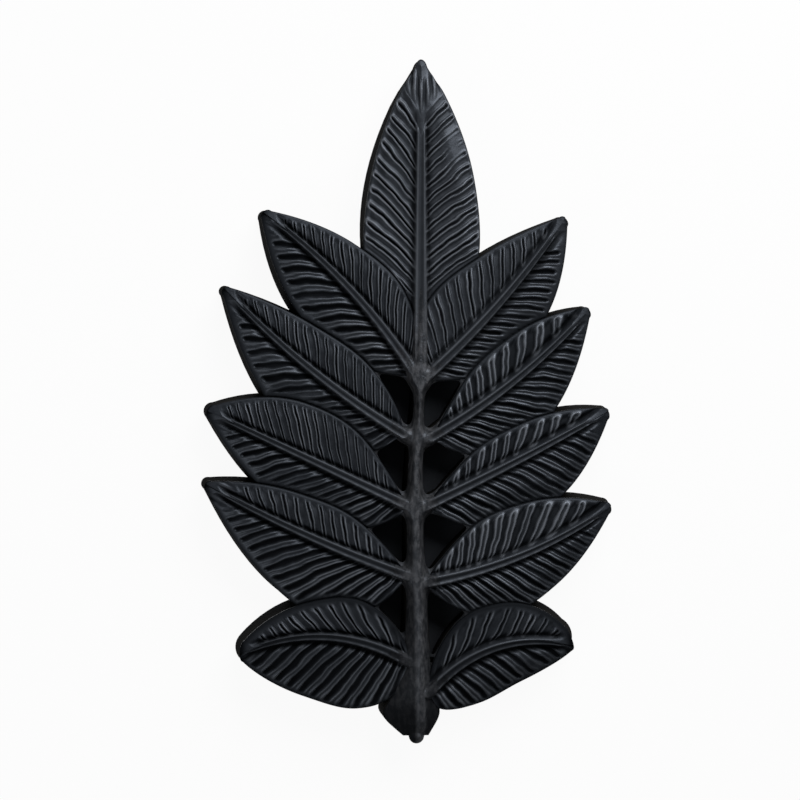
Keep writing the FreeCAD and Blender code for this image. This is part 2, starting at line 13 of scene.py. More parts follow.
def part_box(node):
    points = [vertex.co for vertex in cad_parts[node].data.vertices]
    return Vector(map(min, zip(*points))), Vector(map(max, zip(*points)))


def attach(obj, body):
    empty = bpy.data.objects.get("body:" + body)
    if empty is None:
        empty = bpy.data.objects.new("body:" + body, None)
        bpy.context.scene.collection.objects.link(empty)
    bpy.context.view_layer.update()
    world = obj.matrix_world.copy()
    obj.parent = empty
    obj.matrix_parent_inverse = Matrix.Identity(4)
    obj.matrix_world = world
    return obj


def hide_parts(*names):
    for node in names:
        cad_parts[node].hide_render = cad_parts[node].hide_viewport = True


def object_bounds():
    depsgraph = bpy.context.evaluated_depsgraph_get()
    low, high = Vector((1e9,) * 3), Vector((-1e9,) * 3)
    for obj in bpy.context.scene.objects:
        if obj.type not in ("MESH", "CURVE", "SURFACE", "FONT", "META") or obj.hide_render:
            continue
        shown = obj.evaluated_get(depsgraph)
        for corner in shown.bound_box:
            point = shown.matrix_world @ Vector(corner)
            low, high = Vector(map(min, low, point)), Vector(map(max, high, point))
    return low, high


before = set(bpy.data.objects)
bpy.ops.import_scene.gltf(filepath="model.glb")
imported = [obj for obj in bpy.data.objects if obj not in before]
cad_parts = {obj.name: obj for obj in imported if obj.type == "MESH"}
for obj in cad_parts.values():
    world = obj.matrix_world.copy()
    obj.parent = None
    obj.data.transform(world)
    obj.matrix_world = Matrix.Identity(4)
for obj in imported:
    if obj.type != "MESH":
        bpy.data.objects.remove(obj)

CAD_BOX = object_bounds()
LOG = logging.getLogger("leaf_hand")
MM = 0.001
WELD = 0.000002         # how near two points of a construction mesh count as one, in metres
FINE_WELD = 0.0000005   # the same for a screw
NEAR_ZERO = 1e-9        # least length that is divided by, in mm
LEAF_BODY = "leaf_body"
HANDLE_BODY = "handle"
Triple = tuple[float, float, float]
Pair = tuple[float, float]


# ---------------------------------------------------------------- curves over arrays

def ramp(value: Any, run: Any = 1.0) -> Any:
    """Rise straight from 0 to 1 as the value goes from 0 to the run."""
    return np.clip(value / run, 0, 1)


def ease(share: Any) -> Any:
    """Smooth a straight rise from 0 to 1 at both ends."""
    return share * share * (3 - 2 * share)


def bell(value: Any, centre: Any, width: Any) -> Any:
    """Fall from 1 at the centre to 0 on both sides."""
    return np.exp(-((value - centre) / width) ** 2)


# ---------------------------------------------------------------- node writing

def operator(operation: str, reflected: bool = False) -> Callable[["Field", Any], "Field"]:
    """Make an arithmetic method for fields.

    Args:
        operation: the Math node's operation.
        reflected: whether the field stands on the right.

    Returns:
        The method.
    """
    def method(own: "Field", other: Any) -> "Field":
        """Add a Math node over the field and the other value."""
        values = (other, own) if reflected else (own, other)
        return own.tree.math(operation, *values)
    return method


class Field:
    """A socket of a node tree that can be used in plain arithmetic."""

    def __init__(self, tree: "Nodes", socket: bpy.types.NodeSocket) -> None:
        """Wrap an output socket of the writer's tree."""
        self.tree = tree
        self.socket = socket

    __add__, __radd__ = operator("ADD"), operator("ADD", reflected=True)
    __sub__, __rsub__ = operator("SUBTRACT"), operator("SUBTRACT", reflected=True)
    __mul__, __rmul__ = operator("MULTIPLY"), operator("MULTIPLY", reflected=True)
    __truediv__, __rtruediv__ = operator("DIVIDE"), operator("DIVIDE", reflected=True)
    __pow__, __rpow__ = operator("POWER"), operator("POWER", reflected=True)

    def __neg__(self) -> "Field":
        """Negative."""
        return self * -1.0


class Nodes:
    """Writes nodes into a shader or geometry tree."""

    def __init__(self, tree: bpy.types.NodeTree) -> None:
        """Start writing.

        Args:
            tree: the tree to write into.
        """
        self.tree = tree

    def node(self, kind: str, values: Optional[dict[Union[int, str], Any]] = None,
             **settings: Any) -> bpy.types.Node:
        """Add a node.

        Args:
            kind: the node's type name.
            values: a number, colour, Field or socket for each named or numbered input.
            settings: properties of the node, set before its sockets.

        Returns:
            The new node.
        """
        made = self.tree.nodes.new(kind)
        for name, value in settings.items():
            setattr(made, name, value)
        for name, value in (values or {}).items():
            self.feed(made.inputs[name], value)
        return made

    def feed(self, socket: bpy.types.NodeSocket, value: Any) -> None:
        """Link a Field or socket to an input, or set its value.

        Args:
            socket: the input socket.
            value: what it takes; a colour may leave out its alpha.
        """
        if isinstance(value, Field):
            self.tree.links.new(value.socket, socket)
        elif isinstance(value, bpy.types.NodeSocket):
            self.tree.links.new(value, socket)
        elif socket.type == "RGBA":
            socket.default_value = (*value[:3], 1.0)
        else:
            socket.default_value = value

    def field(self, made: bpy.types.Node, output: Union[int, str] = 0) -> Field:
        """Wrap one output of a node."""
        return Field(self, made.outputs[output])

    def math(self, operation: str, *values: Any) -> Field:
        """Add a Math node over the values, in the order of its inputs."""
        return self.field(self.node("ShaderNodeMath", dict(enumerate(values)), operation=operation))

    def clamp(self, value: Any) -> Field:
        """Limit a value to between 0 and 1."""
        made = self.node("ShaderNodeMath", {0: value, 1: 0.0}, operation="ADD", use_clamp=True)
        return self.field(made)

    def smooth(self, value: Any, low: Any, high: Any) -> Field:
        """Rise smoothly from 0 where the value is low to 1 where it is high."""
        values = {"Value": value, "From Min": low, "From Max": high}
        return self.field(self.node("ShaderNodeMapRange", values, interpolation_type="SMOOTHSTEP"))

    def noise(self, place: Any, scale: float, detail: float, roughness: float = 0.5,
              seed: Optional[Field] = None) -> Field:
        """Add a noise texture.

        Args:
            place: where it is read.
            scale: its fineness.
            detail: how many finer layers it has.
            roughness: how strong they are.
            seed: its seed, if it has one.

        Returns:
            Values about 0.5.
        """
        values = {"Vector": place, "Scale": scale, "Detail": detail, "Roughness": roughness}
        if seed is None:
            return self.field(self.node("ShaderNodeTexNoise", values))
        values["W"] = seed
        return self.field(self.node("ShaderNodeTexNoise", values, noise_dimensions="4D"))

    def attribute(self, name: str) -> Field:
        """Read a float attribute in a geometry tree."""
        made = self.node("GeometryNodeInputNamedAttribute", {"Name": name}, data_type="FLOAT")
        return self.field(made, "Attribute")

    def mix_colours(self, share: Any, first: Any, second: Any) -> bpy.types.NodeSocket:
        """Go from the first colour to the second as share goes from 0 to 1."""
        return self.node("ShaderNodeMix", {0: share, 6: first, 7: second}, data_type="RGBA").outputs[2]

    def mix_shaders(self, share: Any, first: bpy.types.Node, second: bpy.types.Node) -> bpy.types.Node:
        """Go from the first shader to the second as share goes from 0 to 1."""
        values = {0: share, 1: first.outputs[0], 2: second.outputs[0]}
        return self.node("ShaderNodeMixShader", values)

    def give(self, geometry: bpy.types.Node, finish: bpy.types.Material) -> None:
        """End a geometry tree with real geometry in its finish.

        Args:
            geometry: the node that makes the geometry.
            finish: its material.
        """
        real = self.node("GeometryNodeRealizeInstances", {"Geometry": geometry.outputs[0]})
        dressed = self.node("GeometryNodeSetMaterial", {
            "Geometry": real.outputs[0], "Material": finish})
        self.node("NodeGroupOutput", {"Geometry": dressed.outputs[0]})


def new_material(name: str) -> tuple[bpy.types.Material, Nodes]:
    """Start a material.

    Args:
        name: its name.

    Returns:
        The material and the writer of its empty tree.
    """
    made = bpy.data.materials.new(name)
    made.use_nodes = True
    made.node_tree.nodes.clear()
    return made, Nodes(made.node_tree)


def new_tree(name: str, inputs: dict[str, str]) -> tuple[bpy.types.NodeTree, Nodes, bpy.types.Node]:
    """Start a geometry tree that takes and gives one geometry.

    Args:
        name: its name.
        inputs: the kind of each other input, by name.

    Returns:
        The tree, its writer and the node of its inputs.
    """
    tree = bpy.data.node_groups.new(name, "GeometryNodeTree")
    for label, kind in {"Geometry": "Geometry", **inputs}.items():
        tree.interface.new_socket(label, in_out="INPUT", socket_type="NodeSocket" + kind)
    tree.interface.new_socket("Geometry", in_out="OUTPUT", socket_type="NodeSocketGeometry")
    nodes = Nodes(tree)
    return tree, nodes, nodes.node("NodeGroupInput")


# ---------------------------------------------------------------- finishes

@dataclass(frozen=True)
class Plastic:
    """Moulded black plastic, with fine grain and faint sink and flow marks."""

    name: str
    colour: Triple
    worn_colour: Triple
    roughness: float
    roughness_spread: float = 0.08
    worn_range: Pair = (0.35, 0.7)      # of the clouds, from no wear to full wear
    grain_scale: float = 2600.0
    grain_depth: float = 0.00004
    grain_strength: float = 0.25
    cloud_scale: float = 28.0
    stretch: Triple = (1.0, 1.0, 1.0)   # draws the clouds out along an axis
    gloss: float = 1.0                  # share of the plastic that still has its skin
    sheen: Triple = (0.76, 0.85, 1.0)   # colour of its reflections
    carved: bool = False                # reads the painted shade and painted highlight stored on the surface
    # painted highlight: the lighter colour that the raised lines take
    painted_highlight_colour: Triple = (0.135, 0.147, 0.168)
    painted_highlight_share: float = 0.85           # how far a full crest takes the painted highlight colour
    crest_gloss: float = 0.12           # by which a crest is smoother
    groove_matt: float = 0.35           # by which a groove is rougher
    # painted shade: colour of the dark diffuse shader that covers the grooves
    painted_shade_colour: Triple = (0.0038, 0.0043, 0.0052)

    def material(self) -> bpy.types.Material:
        """Build the material.

        Returns:
            The material with its node tree.
        """
        made, nodes = new_material(self.name)
        place = nodes.field(nodes.node("ShaderNodeTexCoord"), "Object")
        drawn = nodes.node("ShaderNodeMapping", {"Vector": place, "Scale": self.stretch})
        cloud = nodes.noise(drawn.outputs[0], self.cloud_scale, detail=4.0, roughness=0.55)
        grain = nodes.noise(place, self.grain_scale, detail=2.0, roughness=0.6)
        worn = nodes.smooth(cloud, *self.worn_range)
        colour = nodes.mix_colours(worn, self.colour, self.worn_colour)
        rough = cloud * self.roughness_spread + (self.roughness - self.roughness_spread / 2)
        if self.carved:
            groove, crest = (nodes.field(nodes.node("ShaderNodeAttribute", attribute_name=name), "Fac")
                             for name in ("groove", "crest"))
            # painted highlight on the crests, which are also smoother; grooves are rougher
            colour = nodes.mix_colours(crest * self.painted_highlight_share, colour, self.painted_highlight_colour)
            rough = rough + groove * self.groove_matt - crest * self.crest_gloss
        bump = nodes.node("ShaderNodeBump", {
            "Strength": self.grain_strength, "Distance": self.grain_depth, "Height": grain})
        shader = nodes.node("ShaderNodeBsdfPrincipled", {
            "Base Color": colour, "Roughness": rough, "Normal": bump.outputs[0],
            "Specular Tint": self.sheen})
        if self.carved:
            # painted shade: a dark diffuse shader mixed in by the groove attribute
            painted_shade_bsdf = nodes.node("ShaderNodeBsdfDiffuse", {"Color": self.painted_shade_colour})
            shader = nodes.mix_shaders(groove, shader, painted_shade_bsdf)
        if self.gloss < 1.0:
            dull = nodes.node("ShaderNodeBsdfDiffuse", {"Color": colour})
            shader = nodes.mix_shaders(self.gloss, dull, shader)
        nodes.node("ShaderNodeOutputMaterial", {"Surface": shader.outputs[0]})
        return made


@dataclass(frozen=True)
class Metal:
    """Plated, sprung or turned metal, brushed along one axis."""

    name: str
    colour: Triple
    dull_colour: Triple
    roughness: float
    metallic: float = 1.0
    dull_range: Pair = (0.4, 0.72)      # of the clouds, from no dulling to full dulling
    cloud_scale: float = 60.0
    cloud_spread: float = 0.1           # of the roughness
    brush_axis: int = 2
    brush_stretch: float = 0.04
    brush_scale: float = 900.0
    brush_spread: float = 0.16          # of the roughness
    brush_depth: float = 0.00003
    brush_strength: float = 0.3

    def material(self) -> bpy.types.Material:
        """Build the material.

        Returns:
            The material with its node tree.
        """
        made, nodes = new_material(self.name)
        place = nodes.field(nodes.node("ShaderNodeTexCoord"), "Object")
        stretch = tuple(self.brush_stretch if i == self.brush_axis else 1.0 for i in range(3))
        along = nodes.node("ShaderNodeMapping", {"Vector": place, "Scale": stretch})
        brush = nodes.noise(along.outputs[0], self.brush_scale, detail=3.0)
        cloud = nodes.noise(place, self.cloud_scale, detail=4.0)
        dull = nodes.smooth(cloud, *self.dull_range)
        colour = nodes.mix_colours(dull, self.colour, self.dull_colour)
        least = self.roughness - (self.brush_spread + self.cloud_spread) / 2
        rough = brush * self.brush_spread + cloud * self.cloud_spread + least
        bump = nodes.node("ShaderNodeBump", {
            "Strength": self.brush_strength, "Distance": self.brush_depth, "Height": brush})
        shader = nodes.node("ShaderNodeBsdfPrincipled", {
            "Base Color": colour, "Roughness": rough, "Metallic": self.metallic,
            "Normal": bump.outputs[0]})
        nodes.node("ShaderNodeOutputMaterial", {"Surface": shader.outputs[0]})
        return made


LEAF_SATIN = Plastic("leaf_satin", (0.0056, 0.0068, 0.0088), (0.0118, 0.0136, 0.0166), 0.4,
                     roughness_spread=0.16, grain_scale=700.0, grain_depth=0.00014,
                     grain_strength=0.55, cloud_scale=190.0, carved=True)
STEM_SATIN = Plastic("stem_satin", (0.0175, 0.0185, 0.0205), (0.068, 0.069, 0.074), 0.42,
                     roughness_spread=0.2, grain_scale=800.0, grain_depth=0.0005,
                     grain_strength=0.7, cloud_scale=430.0, stretch=(1.0, 0.45, 1.0), carved=True)
WALL_MATT = Plastic("wall_matt", (0.0052, 0.0048, 0.0043), (0.008, 0.0075, 0.0065), 0.6,
                    gloss=0.08)
COVER_MATT = Plastic("cover_matt", (0.007, 0.0074, 0.0082), (0.0105, 0.011, 0.0118), 0.6,
                     grain_scale=1500.0, grain_depth=0.00008, grain_strength=0.5)
GRIP_STIPPLE = Plastic("grip_stipple", (0.014, 0.0145, 0.0155), (0.022, 0.0225, 0.0235), 0.62,
                       grain_scale=900.0, grain_depth=0.0002, grain_strength=0.8)
BRACKET_BLACK = Plastic("bracket_black", (0.016, 0.0165, 0.0175), (0.023, 0.0235, 0.0245), 0.5)
ROD_COAT = Metal("rod_coat", (0.016, 0.0165, 0.0175), (0.024, 0.0245, 0.0255), 0.38,
                 metallic=0.0, brush_axis=0)
SCREW_ZINC = Metal("screw_zinc", (0.46, 0.46, 0.48), (0.3, 0.3, 0.32), 0.34)
SPRING_STEEL = Metal("spring_steel_finish", (0.42, 0.42, 0.43), (0.3, 0.3, 0.31), 0.28, brush_axis=1)
INSERT_BRASS = Metal("insert_brass_finish", (0.75, 0.56, 0.27), (0.55, 0.39, 0.18), 0.3)


# ---------------------------------------------------------------- leaf outline

class Side(Enum):
    """The two flaps of a leaflet: towards the leaf's tip, and towards its stem end."""

    UPPER = 1
    LOWER = -1


@dataclass(frozen=True)
class Flap:
    """One side of a leaflet: its outline and how its veins lie."""

    width: float            # share of the leaflet's length
    skew: float             # where along the leaflet the flap is widest
    veins: int
    vein_angle: float       # degrees between midrib and vein at the leaflet's middle
    lip: float = 2.2        # smooth border along the edge, mm
    edge_height: float = 0.3
    depth: float = 1.3      # of the grooves, mm
    groove_share: float = 0.15
    bead: float = 0.5       # height of the thin ridge that runs round each groove, mm
    bead_at: float = 0.34   # how far out that ridge runs, as a share of the way to the next
    bead_width: float = 0.12
    shelf: float = 0.0      # width of the plain slope between midrib and veins, mm
    loop: float = 0.3       # how far the thin ridge keeps its height round a groove's outer end
    dark_edge: float = 1.5  # width of the painted shade along the edge, mm
    valley: float = 0.6     # how far the land sinks midway between two grooves, mm
    trough: float = 1.3     # width of the channel beside the midrib, mm
    steepen: float = 0.35   # share by which the veins' angle falls from root to tip
    veins_to: float = 0.92
    curl: float = 0.025     # how far the veins curve towards the tip
    root_bead: float = 0.0  # how much higher the thin ridges are near the root
    crowd: float = 0.0      # how much closer the veins stand at the root than at the tip


@dataclass(frozen=True)
class Leaflet:
    """Places as shares of half the leaf's width and length; see the flaps for the rest."""

    name: str
    root: Pair
    tip: Pair
    upper: Flap
    lower: Flap
    fullness: float = 1.0
    bow: float = 0.0
    seed: int = 1
    veins_from: float = 0.02
    ridge_end: float = 0.92
    tip_lines: float = 0.0  # height of the short lines beyond the last vein, mm
    gloom: float = 0.0      # painted shade over the whole leaflet where the light falls off, or painted light below zero
    rib: float = 1.0        # width of the midrib, as a share of the others'
    point: float = 0.0      # share by which the tip is drawn in to a point
    patch: Optional[Triple] = None  # smooth spot: share along, mm across, mm wide

    def flap(self, side: Side) -> Flap:
        """The flap on one side."""
        return self.upper if side is Side.UPPER else self.lower


def upper(width: float, skew: float, veins: int, angle: float, **more: Any) -> Flap:
    """A flap whose edge stands over the leaflet before it."""
    settings = {"edge_height": 2.0, "lip": 2.0, "bead": 0.75, **more}
    return Flap(width, skew, veins, angle, **settings)


def upper_bold(width: float, skew: float, veins: int, angle: float, **more: Any) -> Flap:
    """An upper flap with thick looped veins and deep valleys between them."""
    settings = {"bead": 1.0, "valley": 1.4, "depth": 0.45, "groove_share": 0.2, "lip": 2.2,
                "bead_at": 0.36, "bead_width": 0.17, "shelf": 1.6, "steepen": 0.8, "loop": 1.0,
                "crowd": 0.35, **more}
    return upper(width, skew, veins, angle, **settings)


def lower(width: float, skew: float, veins: int, angle: float, **more: Any) -> Flap:
    """A flap whose edge dips under the next leaflet."""
    settings = {"edge_height": 0.2, "lip": 3.0, "groove_share": 0.4, "valley": 0.1,
                "bead": 0.24, "bead_at": 0.66, "bead_width": 0.13, "depth": 1.6, "trough": 2.0,
                "veins_to": 0.84, "loop": 0.6, "dark_edge": 4.0, "root_bead": 2.2, **more}
    return Flap(width, skew, veins, angle, **settings)


TERMINAL = Leaflet("leaflet_tip", (0.05, 0.07), (0.055, 1.018),
                   Flap(0.18, 0.88, 16, 41.0, lip=0.9, edge_height=0.6, veins_to=0.82, steepen=0.75,
                        bead=0.95, bead_at=0.38, loop=0.8),
                   Flap(0.19, 0.93, 18, 50.0, lip=0.8, edge_height=0.6, veins_to=0.82, steepen=0.4,
                        bead=0.95, bead_at=0.38, loop=0.8),
                   seed=3, ridge_end=0.81, tip_lines=0.7, patch=(0.70, -19.0, 7.5), rib=1.4,
                   point=0.48, gloom=-0.07)
LEFT_LEAFLETS = (
    Leaflet("leaflet_left_1", (0.03, 0.07), (-0.73, 0.56), upper(0.23, 0.86, 16, 38.0),
            lower(0.21, 0.90, 12, 46.0), bow=0.045, seed=11, gloom=0.05),
    Leaflet("leaflet_left_2", (-0.03, -0.10), (-0.92, 0.34), upper(0.14, 0.82, 17, 44.0),
            lower(0.29, 0.68, 12, 42.0), bow=-0.035, seed=12, gloom=0.04),
    Leaflet("leaflet_left_3", (0.00, -0.31), (-1.005, -0.02), upper(0.23, 1.14, 19, 52.0),
            lower(0.25, 0.77, 14, 42.0), seed=13, gloom=0.04),
    Leaflet("leaflet_left_4", (-0.01, -0.51), (-1.013, -0.23),
            upper(0.15, 0.99, 14, 52.0, veins_to=0.82), lower(0.32, 0.67, 13, 40.0, veins_to=0.8),
            bow=-0.02, seed=14, tip_lines=0.3, gloom=0.06),
    Leaflet("leaflet_left_5", (0.00, -0.76), (-0.85, -0.73),
            upper(0.35, 0.85, 11, 46.0, lip=3.0, veins_to=0.9, dark_edge=5.0),
            lower(0.28, 0.66, 11, 46.0, lip=1.6, veins_to=0.88, dark_edge=4.0),
            fullness=0.75, bow=0.12, seed=15, gloom=0.18),
)
RIGHT_LEAFLETS = (
    Leaflet("leaflet_right_1", (0.07, 0.06), (0.78, 0.55), upper(0.22, 0.68, 14, 44.0, shelf=1.5),
            lower(0.26, 0.89, 16, 52.0), bow=-0.03, seed=21, gloom=-0.04),
    Leaflet("leaflet_right_2", (0.10, -0.11), (0.90, 0.28), upper_bold(0.15, 1.20, 11, 49.0),
            lower(0.31, 0.74, 14, 46.0, lip=0.8, trough=1.3, dark_edge=2.0), bow=-0.04, seed=22),
    Leaflet("leaflet_right_3", (0.07, -0.31), (1.0, -0.02), upper_bold(0.15, 1.15, 12, 47.0),
            lower(0.29, 0.88, 14, 54.0, lip=0.8, trough=1.3, dark_edge=2.0), bow=-0.01, seed=23),
    Leaflet("leaflet_right_4", (0.07, -0.53), (1.013, -0.30), upper_bold(0.19, 1.05, 12, 47.0),
            lower(0.30, 0.77, 15, 50.0, lip=0.8, trough=1.3, dark_edge=2.0), bow=-0.055, seed=24),
    Leaflet("leaflet_right_5", (0.09, -0.85), (0.83, -0.71),
            upper(0.42, 1.13, 9, 44.0, lip=3.2, shelf=1.5, dark_edge=6.0),
            lower(0.16, 0.52, 10, 52.0, lip=1.6, veins_to=0.9, dark_edge=4.0),
            fullness=0.62, bow=0.14, seed=25, gloom=0.18),
)
SIDE_LEAFLETS = LEFT_LEAFLETS + RIGHT_LEAFLETS


@dataclass
class Outline:
    """Turns a leaflet's shares into points on the leaf, in millimetres."""

    half_width: float
    half_length: float
    shift: Pair = (0.05, -0.10)
    lean: float = 2.2           # how far the walls lean in under the face where they lean most
    lean_start: float = 0.3     # where along a leaflet the lean starts
    lean_full: float = 0.6
    tip_inset: float = 1.3
    root_share: float = 0.03    # where an edge starts, as a share of the leaflet's length
    arc_share: float = 0.96     # where its rounded tip starts
    apex_share: float = 0.982
    point_reach: float = 22.0   # length over which a tip is drawn in
    point_curve: float = 1.5    # power by which the drawing in grows

    def place(self, share: Pair) -> np.ndarray:
        """A point given as shares of the leaf's half sizes."""
        return np.array([share[0] * self.half_width + self.shift[0],
                         share[1] * self.half_length + self.shift[1]])

    def axes(self, leaflet: Leaflet) -> tuple[np.ndarray, float, np.ndarray, np.ndarray]:
        """The leaflet's own directions.

        Args:
            leaflet: the leaflet.

        Returns:
            Root, length, unit vector to the tip and unit vector to the upper flap.
        """
        root = self.place(leaflet.root)
        line = self.place(leaflet.tip) - root
        length = float(np.hypot(*line))
        along = line / length
        across = np.array([-along[1], along[0]])
        if leaflet is not TERMINAL and leaflet.tip[0] < leaflet.root[0]:
            across = -across
        return root, length, along, across

    def leaning(self, share: np.ndarray) -> np.ndarray:
        """Smooth rise of the walls' lean along a leaflet."""
        return ease(ramp(share - self.lean_start, self.lean_full - self.lean_start))

    def midrib(self, leaflet: Leaflet, t: np.ndarray) -> np.ndarray:
        """Points of the bowed middle line.

        Args:
            leaflet: the leaflet.
            t: shares from root to tip.

        Returns:
            One point a row.
        """
        root, length, along, across = self.axes(leaflet)
        run = (length - self.tip_inset * self.lean) * self.apex_share
        bow = 4 * leaflet.bow * length * t * (1 - t)
        return root + np.outer(t * run, along) + np.outer(bow, across)

    def edge(self, leaflet: Leaflet, side: Side, u: np.ndarray) -> np.ndarray:
        """Points of the face's outline on one side.

        Args:
            leaflet: the leaflet.
            side: which flap.
            u: shares along the edge; from arc_share on they follow the rounded tip.

        Returns:
            One point a row.
        """
        flap = leaflet.flap(side)
        root, length, along, across = self.axes(leaflet)
        run = length - self.tip_inset * self.lean
        share = self.root_share + (self.arc_share - self.root_share) * np.clip(u / self.arc_share, 0, 1)
        s = share ** flap.skew
        width = flap.width * length - self.lean * self.leaning(share)
        reach = width * (4 * s * (1 - s)) ** leaflet.fullness
        points = root + np.outer(share * run, along) + np.outer(side.value * reach, across)
        turn = np.clip((u - self.arc_share) / (1 - self.arc_share), 0, 1) * math.pi / 2
        last = points[np.argmax(u >= self.arc_share)] if np.any(u >= self.arc_share) else points[-1]
        in_arc = u > self.arc_share
        if np.any(in_arc):
            start = root + along * self.arc_share * run
            half = abs(float(np.dot(last - start, across)))
            rise = (self.apex_share - self.arc_share) * run
            arc = (start + np.outer(np.sin(turn) * rise, along)
                   + np.outer(side.value * np.cos(turn) * half, across))
            points[in_arc] = arc[in_arc]
        return points

    def pointed(self, leaflet: Leaflet, points: np.ndarray) -> np.ndarray:
        """Draw a leaflet's tip in to a point.

        Args:
            leaflet: the leaflet.
            points: one point a row.

        Returns:
            The points, of which those near the tip have moved towards the midrib.
        """
        root, _, along, across = self.axes(leaflet)
        gap = points[:, :2] - root
        out, side = gap @ along, gap @ across
        reach = np.clip(1 + (out - (self.half_length - root[1])) / self.point_reach, 0, 1)
        moved = points.copy()
        moved[:, :2] -= np.outer(side * leaflet.point * reach ** self.point_curve, across)
        return moved

    def polygon(self, leaflet: Leaflet, steps: int = 140) -> np.ndarray:
        """The whole outline of a leaflet, root to tip and back.

        Args:
            leaflet: the leaflet.
            steps: how many points each side has.

        Returns:
            One corner a row.
        """
        u = np.linspace(0, 1, steps)
        up = self.edge(leaflet, Side.UPPER, u)
        down = self.edge(leaflet, Side.LOWER, u)
        return np.vstack([up, down[::-1]])


def distance_to_line(points: np.ndarray, line: np.ndarray) -> np.ndarray:
    """Shortest distance from each point to a line of short pieces.

    Args:
        points: one point a row.
        line: the line's corners, one a row.

    Returns:
        One distance for each point.
    """
    start, step = line[:-1], np.diff(line, axis=0)
    square = np.maximum((step ** 2).sum(1), NEAR_ZERO ** 2)
    best = np.full(len(points), np.inf)
    for a, d, q in zip(start, step, square):
        t = np.clip(((points - a) @ d) / q, 0, 1)
        gap = points - a - np.outer(t, d)
        best = np.minimum(best, (gap ** 2).sum(1))
    return np.sqrt(best)


def is_inside(points: np.ndarray, polygon: np.ndarray) -> np.ndarray:
    """Which points lie inside a closed polygon.

    Args:
        points: one point a row.
        polygon: its corners, one a row.

    Returns:
        True for each point inside.
    """
    x, y = points[:, 0], points[:, 1]
    inside = np.zeros(len(points), bool)
    for (x0, y0), (x1, y1) in zip(polygon, np.roll(polygon, -1, axis=0)):
        crosses = (y0 > y) != (y1 > y)
        if y1 != y0:
            inside ^= crosses & (x < (x1 - x0) * (y - y0) / (y1 - y0) + x0)
    return inside


# ---------------------------------------------------------------- veined faces

